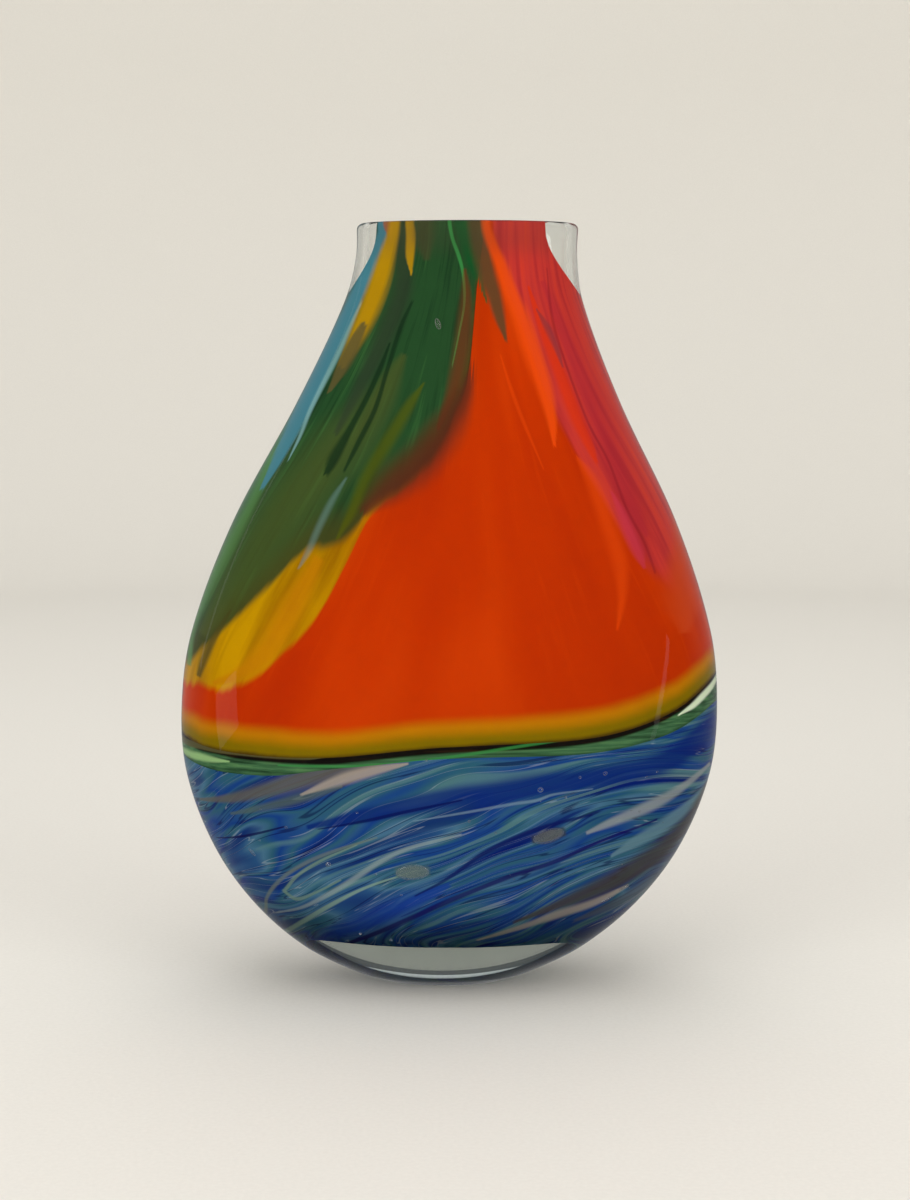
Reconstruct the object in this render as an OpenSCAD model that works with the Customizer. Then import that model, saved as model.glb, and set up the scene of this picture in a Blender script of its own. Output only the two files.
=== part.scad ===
// Flattened teardrop vase of hand-blown, cased glass, standing on its ground foot.
// +Z is up, the broad face looks along -Y, and the origin is under the middle of the vase, on the table.
//
// The wall is built like the blown one, from three nested bubbles: a clear lining, a thin layer of
// colour, and a thick clear casing. The colour is several pieces that meet edge to edge. Every layer
// is drawn on the same grid of columns (angles) and rows (heights), so neighbours share their faces.

/* [Outline] */
// Height from the table to the lip
vase_h = 280; // [270:1:290]
// Width of the belly
belly_w = 199; // [190:1:208]
// Depth of the belly, front to back
belly_d = 96.6; // [92:0.2:100]
// Width of the mouth
mouth_w = 80.6; // [76:0.2:86]
// Depth of the mouth, front to back
mouth_d = 38; // [36:0.5:40]
// Width of the ground foot
foot_w = 47; // [42:1:50]
// Depth of the ground foot
foot_d = 29; // [27:1:31]
// How far the mouth leans to the right of the middle
mouth_lean = 6.6; // [0:0.2:8]
// How far the foot sits to the left of the middle
foot_lean = 2.6; // [0:0.2:4]

/* [Wall] */
// Clear casing outside the colour
casing_t = 2.2; // [1.8:0.1:2.4]
// Layer of colour
colour_t = 0.8; // [0.6:0.1:1]
// Clear lining inside the colour
lining_t = 1.2; // [1:0.1:1.4]
// Solid clear glass under the colour
base_t = 20; // [17:1:22]

/* [Colour] */
// Average height of the join between the lower cup and the upper colour
seam_h = 101; // [96:1:104]
// Width of the amber band above the join
amber_w = 9; // [6:0.5:11]
// Width of the black thread under the join
thread_w = 2; // [1.5:0.1:3]
// Narrowest part of the green wrap under the thread
wrap_w = 2; // [1.5:0.1:3]
// Height of the clear windows, where the colour stops short of the lip at the sides
window_h = 27; // [20:1:30]
// Half width of the left window, in degrees round the vase
left_window = 34; // [25:1:40]
// Half width of the right window, in degrees round the vase
right_window = 46; // [25:1:50]

/* [Hidden] */

columns = 36;
turn = 360 / columns;
squareness = 2.2;           // 2 would make every level an ellipse
casing_blank = 2;           // glass below the table, taken off when the foot is ground flat
cap_top = base_t + 20;      // where the rounded bottom of the inner layers ends
cap_rows = 5;
cap_roundness = 2.4;
rim_margin = 1;             // clear glass over the colour, at the front and back of the mouth
cut = 300;                  // size of the grinding cut

// height, half width, half depth, lean to the right
OUTLINE = [
    [0, foot_w / 2, foot_d / 2, -foot_lean],
    [0.014 * vase_h, 0.352 * belly_w / 2, 0.445 * belly_d / 2, -foot_lean],
    [0.05 * vase_h, 0.543 * belly_w / 2, 0.637 * belly_d / 2, -2.4],
    [0.11 * vase_h, 0.733 * belly_w / 2, 0.803 * belly_d / 2, -1.7],
    [0.185 * vase_h, 0.88 * belly_w / 2, 0.918 * belly_d / 2, -1],
    [0.28 * vase_h, 0.98 * belly_w / 2, 0.983 * belly_d / 2, -0.5],
    [0.37 * vase_h, belly_w / 2, belly_d / 2, -0.1],
    [0.47 * vase_h, 0.965 * belly_w / 2, 0.973 * belly_d / 2, 0.6],
    [0.615 * vase_h, 0.819 * belly_w / 2, 0.859 * belly_d / 2, 1.8],
    [0.77 * vase_h, 0.595 * belly_w / 2, 0.667 * belly_d / 2, 3.3],
    [0.9 * vase_h, 0.437 * belly_w / 2, 0.482 * belly_d / 2, 0.78 * mouth_lean],
    [0.957 * vase_h, 0.5 * mouth_w, 0.525 * mouth_d, 0.94 * mouth_lean],
    [vase_h, mouth_w / 2, mouth_d / 2, mouth_lean]];

// The join and the edges of the streaks, as [angle, height]. 0 is the right side, 90 the back,
// 180 the left side and 270 the front.
SEAM_RISE = [[0, 15], [40, 10], [90, 2], [140, -4], [180, -6], [215, -10], [245, -10], [270, -5.5],
             [300, -3], [320, 3], [345, 13.5], [360, 15]];
WRAP_SPREAD = [[0, 6], [60, 2], [90, 1], [150, 3], [190, 4], [230, 3], [250, 0], [300, 1.5],
               [330, 4], [360, 6]];
FIELD_EDGE = [[0, 144], [20, 143], [40, 150], [60, 172], [80, 212], [100, 268], [110, 245], [120, 204],
              [140, 160], [160, 128], [180, 116], [190, 113], [210, 113], [220, 115], [230, 124],
              [240, 139], [250, 175], [260, 189], [270, 212], [280, 268], [290, 256], [300, 224],
              [310, 188], [320, 158], [330, 148], [340, 146], [360, 144]];
YELLOW_SPREAD = [[150, 0], [170, 4], [190, 7], [200, 12], [210, 21], [220, 30], [230, 35], [240, 24],
                 [250, 5], [260, 0]];
band_least = 3;             // narrowest strip of glass between two edges

// ---- outer form ----

// Slope of column j of the outline at station i, from the stations on each side.
function slope(i, j) =
    let (a = max(i - 1, 0), b = min(i + 1, len(OUTLINE) - 1))
    (OUTLINE[b][j] - OUTLINE[a][j]) / (OUTLINE[b][0] - OUTLINE[a][0]);

function station(z, i = 0) = (i >= len(OUTLINE) - 2 || z < OUTLINE[i + 1][0]) ? i : station(z, i + 1);

// Smooth value of column j of the outline at height z.
function outline(z, j) =
    let (i = station(z), h = OUTLINE[i + 1][0] - OUTLINE[i][0], t = (z - OUTLINE[i][0]) / h)
    OUTLINE[i][j] * (2 * pow(t, 3) - 3 * pow(t, 2) + 1)
    + OUTLINE[i + 1][j] * (3 * pow(t, 2) - 2 * pow(t, 3))
    + h * slope(i, j) * (pow(t, 3) - 2 * pow(t, 2) + t)
    + h * slope(i + 1, j) * (pow(t, 3) - pow(t, 2));

function rounded(v) = sign(v) * pow(abs(v), 2 / squareness);

// A point of the form at angle a and height z, set in from the outside by depth, and narrowed by share.
function on_form(a, z, depth, share = 1) = [
    outline(z, 3) + share * (outline(z, 1) - depth) * rounded(cos(a)),
    share * (outline(z, 2) - depth) * rounded(sin(a)),
    z];

// ---- edges between the colours ----

function seam(a) = seam_h + lookup(a, SEAM_RISE);
function wrap_top(a) = seam(a) - thread_w;
function cup_top(a) = wrap_top(a) - wrap_w - lookup(a, WRAP_SPREAD);
function amber_top(a) = seam(a) + amber_w;
function window(away, half_width) = window_h * sqrt(max(0, 1 - away / half_width));
function colour_top(a) =
    vase_h - rim_margin - window(abs(a - 180), left_window)
    - window(min(a, 360 - a), right_window);
function field_top(a) = min(lookup(a, FIELD_EDGE), colour_top(a) - 2 * band_least);
function yellow_top(a) =
    min(field_top(a) + max(band_least, lookup(a, YELLOW_SPREAD)), colour_top(a) - band_least);

// ---- rows and columns ----

// Guide heights at one angle. Every layer has a row on each of them, and ROWS says how many
// steps lie between one guide and the next.
function guides(a) = [cap_top, cup_top(a), wrap_top(a), seam(a), amber_top(a), field_top(a),
                      yellow_top(a), colour_top(a), vase_h];
ROWS = [5, 1, 1, 1, 5, 2, 5, 2];
function row_of(guide) = guide == 0 ? 0 : ROWS[guide - 1] + row_of(guide - 1);
cup_row = row_of(1);
wrap_row = row_of(2);
seam_row = row_of(3);
amber_row = row_of(4);
field_row = row_of(5);
yellow_row = row_of(6);
colour_row = row_of(7);
lip_row = row_of(8);

function guide_under(row, k = 0) =
    (k == len(ROWS) - 1 || row < row_of(k + 1)) ? k : guide_under(row, k + 1);

function row_height(a, row) =
    let (g = guides(a), k = guide_under(row))
    g[k] + (g[k + 1] - g[k]) * (row - row_of(k)) / ROWS[k];

function angle(column) = turn * (column % columns);

// Skin 0 is the outside, 1 the outside of the colour, 2 its inside, 3 the inside of the vase.
SKIN_DEPTH = [0, casing_t, casing_t + colour_t, casing_t + colour_t + lining_t];
SKIN_FLOOR = [0, base_t, base_t + colour_t, base_t + colour_t + lining_t];

// Points up the wall at one column, from row first to row last.
function wall(column, skin, first, last) =
    [for (row = [first : last])
        on_form(angle(column), row_height(angle(column), row), SKIN_DEPTH[skin])];

// Points of the rounded bottom of an inner skin at one column, from near its middle outwards.
function cap(column, skin) =
    [for (i = [1 : cap_rows - 1])
        let (f = pow(i / cap_rows, 2), z = SKIN_FLOOR[skin] + f * (cap_top - SKIN_FLOOR[skin]),
             share = pow(1 - pow(1 - f, cap_roundness), 1 / cap_roundness))
        on_form(angle(column), z, SKIN_DEPTH[skin], share)];

function cap_middle(skin) = [outline(SKIN_FLOOR[skin], 3), 0, SKIN_FLOOR[skin]];

// Points of the outside below cap_top at one column. The lowest ring is below the table.
function base(column) =
    [for (z = [-casing_blank, 0, 4, 9, 14, 20, 29])
        z < 0 ? on_form(angle(column), 0, 0) + [0, 0, z] : on_form(angle(column), z, 0)];

function reversed(list) = [for (i = [len(list) - 1 : -1 : 0]) list[i]];

// ---- solids on the grid ----

// The two triangles between point s and its neighbour t on columns p and q. Both sides of a face
// that two layers share are split along the same diagonal.
function cell(p, q, s, t, outer) =
    outer ? [[p + s, q + t, q + s], [p + s, p + t, q + t]]
          : [[p + s, p + t, q + s], [q + s, p + t, q + t]];

// A closed band all round, or a patch between two columns. Each section holds the points of the
// outer skin going up, then those of the inner skin coming down.
module band(sections, all_round) {
    n = len(sections[0]);
    h = n / 2;
    last = len(sections) - 1;
    sides = [for (i = [0 : all_round ? last : last - 1], s = [0 : n - 1])
        each cell(i * n, ((i + 1) % len(sections)) * n, s, (s + 1) % n, s < h)];
    ends = all_round ? [] : [for (r = [0 : h - 2])
        let (e = last * n, back = n - 1 - r)
        each [[r, back, back - 1], [r, back - 1, r + 1],
              [e + r, e + back - 1, e + back], [e + r, e + r + 1, e + back - 1]]];
    polyhedron(points = [for (section = sections) each section], faces = concat(sides, ends));
}

// A piece of the colour layer between two rows, all round or between two columns.
module colour_ring(first, last)
    band([for (i = [0 : columns - 1]) concat(wall(i, 1, first, last), reversed(wall(i, 2, first, last)))],
         true);

module colour_patch(first, last, from, to)
    band([for (i = [from : to]) concat(wall(i, 1, first, last), reversed(wall(i, 2, first, last)))],
         false);

// A closed bowl. Its sections run from the outer bottom over the edge to the inner bottom, and the
// first outer_n points of each are the outer skin. middles are the points that close the bottoms;
// without an outer one, the bottom is flat.
module bowl(sections, outer_n, inner_middle, outer_middle = undef) {
    n = len(sections[0]);
    rings = [for (section = sections) each section];
    in = len(rings);
    sides = [for (i = [0 : columns - 1], s = [0 : n - 2])
        each cell(i * n, ((i + 1) % columns) * n, s, s + 1, s < outer_n)];
    inside = [for (i = [0 : columns - 1]) [in, ((i + 1) % columns) * n + n - 1, i * n + n - 1]];
    below = is_undef(outer_middle)
        ? [[for (i = [0 : columns - 1]) i * n]]
        : [for (i = [0 : columns - 1]) [in + 1, i * n, ((i + 1) % columns) * n]];
    polyhedron(points = concat(rings, [inner_middle], is_undef(outer_middle) ? [] : [outer_middle]),
               faces = concat(sides, inside, below));
}

// ---- pieces ----

// Thick clear outer gather with the solid base, ground flat underneath.
module clear_casing() color("white", 0.3) difference() {
    sections = [for (i = [0 : columns - 1])
        concat(base(i), wall(i, 0, 0, lip_row), reversed(wall(i, 2, colour_row, lip_row)),
               reversed(wall(i, 1, 0, colour_row)), reversed(cap(i, 1)))];
    bowl(sections, len(base(0)) + lip_row + 1, cap_middle(1));
    translate([-cut / 2, -cut / 2, -cut]) cube(cut);
}

// Clear first bubble, which the colour was laid on.
module clear_lining() color("aliceblue", 0.3) {
    sections = [for (i = [0 : columns - 1])
        concat(cap(i, 2), wall(i, 2, 0, lip_row), reversed(wall(i, 3, 0, lip_row)),
               reversed(cap(i, 3)))];
    bowl(sections, cap_rows + lip_row, cap_middle(3), cap_middle(2));
}

// Lower cup of marbled blues.
module blue_swirl_cup() color("royalblue") {
    sections = [for (i = [0 : columns - 1])
        concat(cap(i, 1), wall(i, 1, 0, cup_row), reversed(wall(i, 2, 0, cup_row)),
               reversed(cap(i, 2)))];
    bowl(sections, cap_rows + cup_row, cap_middle(2), cap_middle(1));
}

// Lip wraps and bands at the join of the two bubbles, from the bottom up.
module green_wrap() color("mediumseagreen") colour_ring(cup_row, wrap_row);
module black_thread() color("darkslategray") colour_ring(wrap_row, seam_row);
module amber_band() color("darkgoldenrod") colour_ring(seam_row, amber_row);

// Orange body of the upper bubble, rising to a point at the front and at the back.
module orange_field() color("orangered") colour_ring(amber_row, field_row);

// Strips that edge the streaks.
module yellow_patch() color("gold") colour_patch(field_row, yellow_row, 16, 26);
module olive_edge() color("darkolivegreen") colour_patch(field_row, yellow_row, 26, 28);
module brown_edge() color("saddlebrown") colour_patch(field_row, yellow_row, 10, 16);
module pink_edge() color("palevioletred") colour_patch(field_row, yellow_row, 28, 46);

// Wide streaks that run up to the lip.
module green_panel() color("darkgreen") colour_patch(yellow_row, colour_row, 21, 28);
module blue_streak() color("deepskyblue") colour_patch(yellow_row, colour_row, 20, 21);
module moss_panel() color("olivedrab") colour_patch(yellow_row, colour_row, 10, 20);
module red_panel() color("crimson") colour_patch(yellow_row, colour_row, 28, 46);

clear_casing();
clear_lining();
blue_swirl_cup();
green_wrap();
black_thread();
amber_band();
orange_field();
yellow_patch();
olive_edge();
brown_edge();
pink_edge();
green_panel();
blue_streak();
moss_panel();
red_panel();
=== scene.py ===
"""Builds the looks of a cased, hand-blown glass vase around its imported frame."""

import bpy
import numpy as np
from bpy.props import FloatProperty, FloatVectorProperty, IntProperty, PointerProperty
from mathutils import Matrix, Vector


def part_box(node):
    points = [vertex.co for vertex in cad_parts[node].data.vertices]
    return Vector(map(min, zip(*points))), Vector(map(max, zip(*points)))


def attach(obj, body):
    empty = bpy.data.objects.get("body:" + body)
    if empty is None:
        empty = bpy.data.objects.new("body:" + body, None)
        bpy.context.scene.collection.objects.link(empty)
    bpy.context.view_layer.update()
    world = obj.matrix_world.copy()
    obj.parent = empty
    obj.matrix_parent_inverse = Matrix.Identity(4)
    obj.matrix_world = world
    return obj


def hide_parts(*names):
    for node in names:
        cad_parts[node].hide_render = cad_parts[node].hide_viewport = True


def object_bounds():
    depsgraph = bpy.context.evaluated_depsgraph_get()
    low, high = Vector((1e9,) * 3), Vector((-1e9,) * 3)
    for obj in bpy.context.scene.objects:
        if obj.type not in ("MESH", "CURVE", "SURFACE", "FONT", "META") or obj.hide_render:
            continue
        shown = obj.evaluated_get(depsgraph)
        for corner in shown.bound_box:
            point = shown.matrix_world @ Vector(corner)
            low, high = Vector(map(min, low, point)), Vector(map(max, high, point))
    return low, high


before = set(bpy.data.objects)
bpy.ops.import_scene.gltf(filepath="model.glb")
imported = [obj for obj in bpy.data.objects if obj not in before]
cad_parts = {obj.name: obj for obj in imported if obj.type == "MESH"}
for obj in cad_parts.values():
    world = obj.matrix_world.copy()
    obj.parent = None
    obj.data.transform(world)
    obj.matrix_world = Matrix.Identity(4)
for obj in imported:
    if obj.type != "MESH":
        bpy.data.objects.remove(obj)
CAD_LOW, CAD_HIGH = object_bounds()

bl_info = {
    "name": "Cased glass vase",
    "version": (1, 0, 0),
    "blender": (4, 5, 0),
    "location": "View3D > Sidebar > Vase",
    "description": "Clear body, layer of colour, bubbles and studio for a blown glass vase",
    "category": "Object",
}

MM = 0.001

# ---------------------------------------------------------------------------
# The form and the edges of the colours, in millimetres.
# Angles are in degrees round the vase: 0 right, 90 back, 180 left, 270 front.
# ---------------------------------------------------------------------------

SQUARENESS = 2.2  # of every level; 2 would be an ellipse

# Stations of the outline between foot and mouth: height as a share of the vase's height, half
# width and half depth as shares of the belly's, and lean to the right.
HEEL_STATION = (0.014, 0.352, 0.445)  # leans as the foot does
BODY_STATIONS = [
    (0.05, 0.543, 0.637, -2.4),
    (0.11, 0.733, 0.803, -1.7),
    (0.185, 0.88, 0.918, -1.0),
    (0.28, 0.98, 0.983, -0.5),
    (0.37, 1.0, 1.0, -0.1),
    (0.47, 0.965, 0.973, 0.6),
    (0.615, 0.819, 0.859, 1.8),
    (0.77, 0.595, 0.667, 3.3),
]
NECK_STATION = (0.9, 0.437, 0.482, 0.78)  # its lean is a share of the mouth's
COLLAR_STATION = (0.957, 1.0, 1.05, 0.94)  # under the lip; sizes and lean are shares of the mouth's

# Angle, and how far the join stands over its middle height there.
SEAM_RISE = [(0, 15), (40, 10), (90, 2), (140, -4), (180, -6), (215, -10), (245, -10),
             (270, -5.5), (300, -3), (320, 3), (345, 13.5)]
# Angle, and how much wider than its least height the wrap is there.
WRAP_SPREAD = [(0, 6), (60, 2), (90, 1), (150, 3), (190, 4), (230, 3), (250, 0), (300, 1.5),
               (330, 4)]
# Angle and height of the orange's upper edge, which rises to a point in front and behind.
FIELD_EDGE = [(0, 144), (20, 143), (40, 150), (60, 172), (80, 212), (93, 262), (100, 284),
              (107, 258), (120, 204), (140, 160), (160, 128), (180, 116), (190, 113), (203, 113),
              (218, 114), (226, 119), (236, 131), (242, 145), (246, 161), (249, 174), (259, 188),
              (266, 200), (270, 212), (273, 228), (275, 252), (277, 270), (279.5, 284),
              (283, 272), (287, 262), (292, 251), (297, 239), (303, 211), (311, 185), (318, 162),
              (325, 151), (335, 147), (348, 145)]
# Angle, and how far the yellow reaches over the orange there.
YELLOW_SPREAD = [(150, 0), (170, 4), (190, 7), (202, 14), (214, 25), (223, 33), (233, 36),
                 (240, 24), (247, 7), (256, 0), (300, 0), (350, 0)]
POINT_ANGLE = 280.0  # where the green meets the red, at the front; they meet again behind
EDGE_GAP = 3.0  # narrowest strip between two edges
RIM_MARGIN = 1.0  # clear glass over the colour at the front and back of the mouth

# Rows of the colour layer between one guide height and the next, and its columns.
GUIDES = ["cap", "cup", "wrap", "seam", "amber", "field", "yellow", "colour"]
ROWS = [44, 5, 3, 7, 60, 16, 56]
COLUMNS = 360
CAP_ROWS = 20
CAP_RISE = 20.0  # from the clear base to the top of the rounded bottom of the inner layers
CAP_ROUNDNESS = 2.4

# Streaks drawn on the front, those on top last: colour, softness of the edges, strength,
# and a path of points (sideways, height, half width).
UPPER_STREAKS = {
    "leaf_green": ("#2f7a45", 0.8, 0.8, [(-36, 258, 0.5), (-41, 246, 2.0), (-53, 219, 3.2),
        (-64, 198, 3.4), (-74, 181, 2.4), (-83, 160, 0.6)]),
    "edge_green": ("#5a9650", 0.7, 0.7, [(-58, 204, 0.4), (-63, 194, 1.6), (-70, 180, 1.6),
        (-80, 161, 2.0), (-87, 148, 2.2), (-93, 134, 1.6), (-94, 120, 0.8)]),
    "olive_wash": ("#56602a", 0.9, 0.6, [(-16, 232, 1.0), (-25, 216, 5.0), (-38, 200, 8.0),
        (-54, 182, 9.0), (-68, 163, 8.0), (-80, 146, 5.0), (-88, 132, 2.0)]),
    "sky_blue": ("#4a8a9c", 0.35, 0.95, [(-24.5, 282, 1.1), (-23.5, 275, 1.9), (-26.5, 268, 2.3),
        (-30, 259, 2.5), (-35, 248, 2.4), (-43, 232, 2.6), (-52, 213, 2.8), (-60, 197, 2.0),
        (-67, 184, 0.6)]),
    # Pale line along the blue streak: partly blue glass, partly a painted highlight of the left
    # flank.
    "sky_line_and_highlight": ("#98c8c8", 0.8, 0.6, [(-31, 251, 0.3), (-35, 242, 0.7), (-39.5, 232, 0.8),
        (-49, 213, 0.7), (-53, 203, 0.5), (-57, 195, 0.2)]),
    "rust": ("#a8603a", 0.35, 0.9, [(-22, 282, 2.0), (-21.3, 277, 1.4), (-20.7, 273, 0.3)]),
    "shadow": ("#34402e", 0.7, 0.7, [(-16.5, 282, 2.0), (-17, 268, 2.4), (-16, 259, 3.2),
        (-18, 250, 3.4), (-24, 236, 3.4), (-32, 220, 2.4), (-40, 204, 0.8)]),
    "drop_left": ("#16301c", 0.5, 0.85, [(-21, 236, 0.3), (-24, 228, 0.8), (-29, 217, 0.9),
        (-35, 206, 1.2), (-41, 195, 1.9), (-43.5, 190, 1.0)]),
    "drop_right": ("#16301c", 0.5, 0.8, [(-13, 251, 0.4), (-17, 242, 0.8), (-22, 226, 0.7),
        (-26, 213, 0.8), (-32, 201, 0.9), (-37, 191, 0.4)]),
    "yellow_left": ("#c59408", 0.5, 0.95, [(-19, 282, 1.6), (-20, 275, 1.9), (-22, 268, 2.6),
        (-24.5, 259, 3.2), (-28, 249, 3.2), (-33, 238, 2.6), (-38, 228, 1.4)]),
    "gold_tail": ("#645a32", 0.4, 0.9, [(-30, 243, 1.2), (-34, 235, 2.4), (-38, 227, 2.0),
        (-42.5, 219, 0.5)]),
    "yellow_right": ("#bf9112", 0.4, 0.95, [(-14.5, 282, 1.3), (-13.5, 275, 1.6), (-13.8, 267, 1.4),
        (-13.5, 261, 0.3)]),
    "moss": ("#4a4a2c", 0.8, 0.7, [(-9, 282, 3.6), (-9, 274, 3.2), (-8, 266, 1.0)]),
    "bottle_green": ("#0f5a2a", 0.6, 0.8, [(3.5, 282, 2.4), (5.5, 274, 2.6), (8.5, 265, 2.2),
        (11, 257, 1.2), (13, 251, 0.3)]),
    "bright_line": ("#3f9a4c", 0.5, 0.8, [(-0.4, 282, 0.7), (1, 274, 0.6), (3.4, 267, 0.6),
        (5, 260, 0.5), (5.3, 250, 0.4), (3.5, 240, 0.3), (1, 228, 0.2)]),
    "olive_lens": ("#5c6408", 0.8, 0.65, [(-9, 222, 0.3), (-13, 216, 1.4), (-20, 204, 2.0),
        (-29, 189, 2.0), (-34, 177, 1.6), (-39, 168, 0.5)]),
    "grey_blue": ("#6f8f86", 0.9, 0.5, [(-36, 189, 0.3), (-41, 181, 1.0), (-46, 171, 1.1),
        (-49.5, 163, 0.9), (-53, 157, 0.3)]),
    "bark": ("#5a4a2c", 0.55, 0.9, [(9, 282, 2.8), (11, 271, 3.2), (14, 259, 3.2), (16, 253, 2.6),
        (18, 245, 1.8), (20, 237, 0.4)]),
    "ember": ("#f4560f", 0.6, 0.8, [(12, 282, 1.2), (14, 274, 1.7), (18, 265, 2.0), (21, 256, 2.2),
        (25, 246, 2.8), (29, 234, 3.2), (33, 222, 2.8), (36, 210, 1.8), (37, 200, 0.5)]),
    "ember_thread": ("#f85c14", 0.8, 0.3, [(18, 232, 0.2), (21, 222, 0.5), (25, 211, 0.6),
        (33, 192, 0.2)]),
    "ember_low": ("#ee520c", 0.9, 0.5, [(45, 196, 0.5), (50, 188, 2.0), (55, 175, 2.4),
        (60, 160, 2.4), (61, 148, 1.6), (59, 136, 0.4)]),
    "apex_shade": ("#7a3018", 0.8, 0.6, [(5.5, 262, 0.5), (6, 254, 1.6), (5.5, 244, 2.2),
        (4, 232, 2.4), (1, 219, 2.0), (-4, 206, 0.8)]),
    "scarlet": ("#e03a12", 0.5, 0.8, [(28, 256, 0.4), (32, 244, 1.4), (36, 234, 2.0),
        (40, 223, 2.2), (45, 210, 2.4), (50, 199, 1.6), (52, 194, 0.5)]),
    "magenta": ("#b42c3c", 0.9, 0.5, [(33, 258, 1.0), (40, 240, 2.6), (50, 216, 3.6),
        (59, 193, 4.0), (66, 176, 2.4), (70, 168, 0.6)]),
    "wine_edge": ("#a02632", 0.9, 0.75, [(48, 264, 1.0), (55, 249, 3.0), (65, 228, 4.0),
        (74, 207, 4.4), (81, 190, 3.6), (85, 179, 1.0)]),
    "pink_lobe": ("#cc3a54", 0.8, 0.6, [(57, 184, 0.4), (61, 176, 1.6), (64, 169, 2.0),
        (67, 162, 1.8), (69, 157, 0.5)]),
    "red_line": ("#7d1626", 0.8, 0.4, [(34.5, 263, 0.2), (36, 247, 0.5), (39, 235, 0.4),
        (49, 208, 0.4), (56, 195, 0.4), (63, 177, 0.5), (69, 166, 0.5), (73, 155, 0.4)]),
    "mauve": ("#7a3a44", 0.7, 0.6, [(31, 248, 0.3), (35, 241, 1.2), (38, 234, 0.9),
        (40, 228, 0.3)]),
    "rose_orange": ("#d04818", 0.8, 0.9, [(79, 184, 0.3), (82, 175, 2.2), (84, 164, 3.8),
        (84, 153, 6.0), (84, 143, 6.0), (84, 134, 2.0)]),
    "bruise": ("#60301e", 0.9, 0.85, [(8, 228, 1.0), (5, 217, 3.0), (-1, 206, 5.0), (-10, 195, 5.5),
        (-20, 186, 4.5), (-30, 177, 1.5)]),
    "gold_margin": ("#c98204", 0.7, 0.75, [(-46, 160, 2.0), (-53, 147, 3.6), (-59, 136, 4.0),
        (-65, 127, 3.6), (-73, 120, 2.4), (-84, 115, 0.8)]),
    "olive_margin": ("#4c4a20", 0.6, 0.8, [(-78, 141, 0.4), (-84, 131, 1.2), (-88, 123, 1.6),
        (-90, 117, 1.0)]),
}
BAND_STREAKS = {
    "thread_left": ("#5f5a38", 0.3, 0.9, [(-99, 91.6, 1.2), (-74, 91.3, 1.2), (-50, 91.2, 1.1),
        (-44, 91.4, 0.4)]),
    # Painted highlight: pale green on the wrap at the left.
    "wrap_left_highlight": ("#a6cf8c", 0.6, 0.9, [(-98, 87.6, 1.0), (-92, 87.4, 1.3), (-86, 87.4, 1.1),
        (-79, 87.4, 0.3)]),
    "wrap_middle": ("#3f9a4c", 0.6, 0.7, [(-60, 87.6, 0.3), (-30, 88.6, 0.5), (0, 92, 0.5),
        (30, 96.4, 0.5), (62, 100.5, 0.3)]),
    # Painted highlight: near white on the wrap at the right.
    "wrap_right_highlight": ("#f2ffdf", 0.5, 0.95, [(82, 104, 0.3), (87, 106.5, 1.0), (91, 109.5, 1.2),
        (95, 112.6, 1.1), (98, 115.5, 0.8)]),
}
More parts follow.
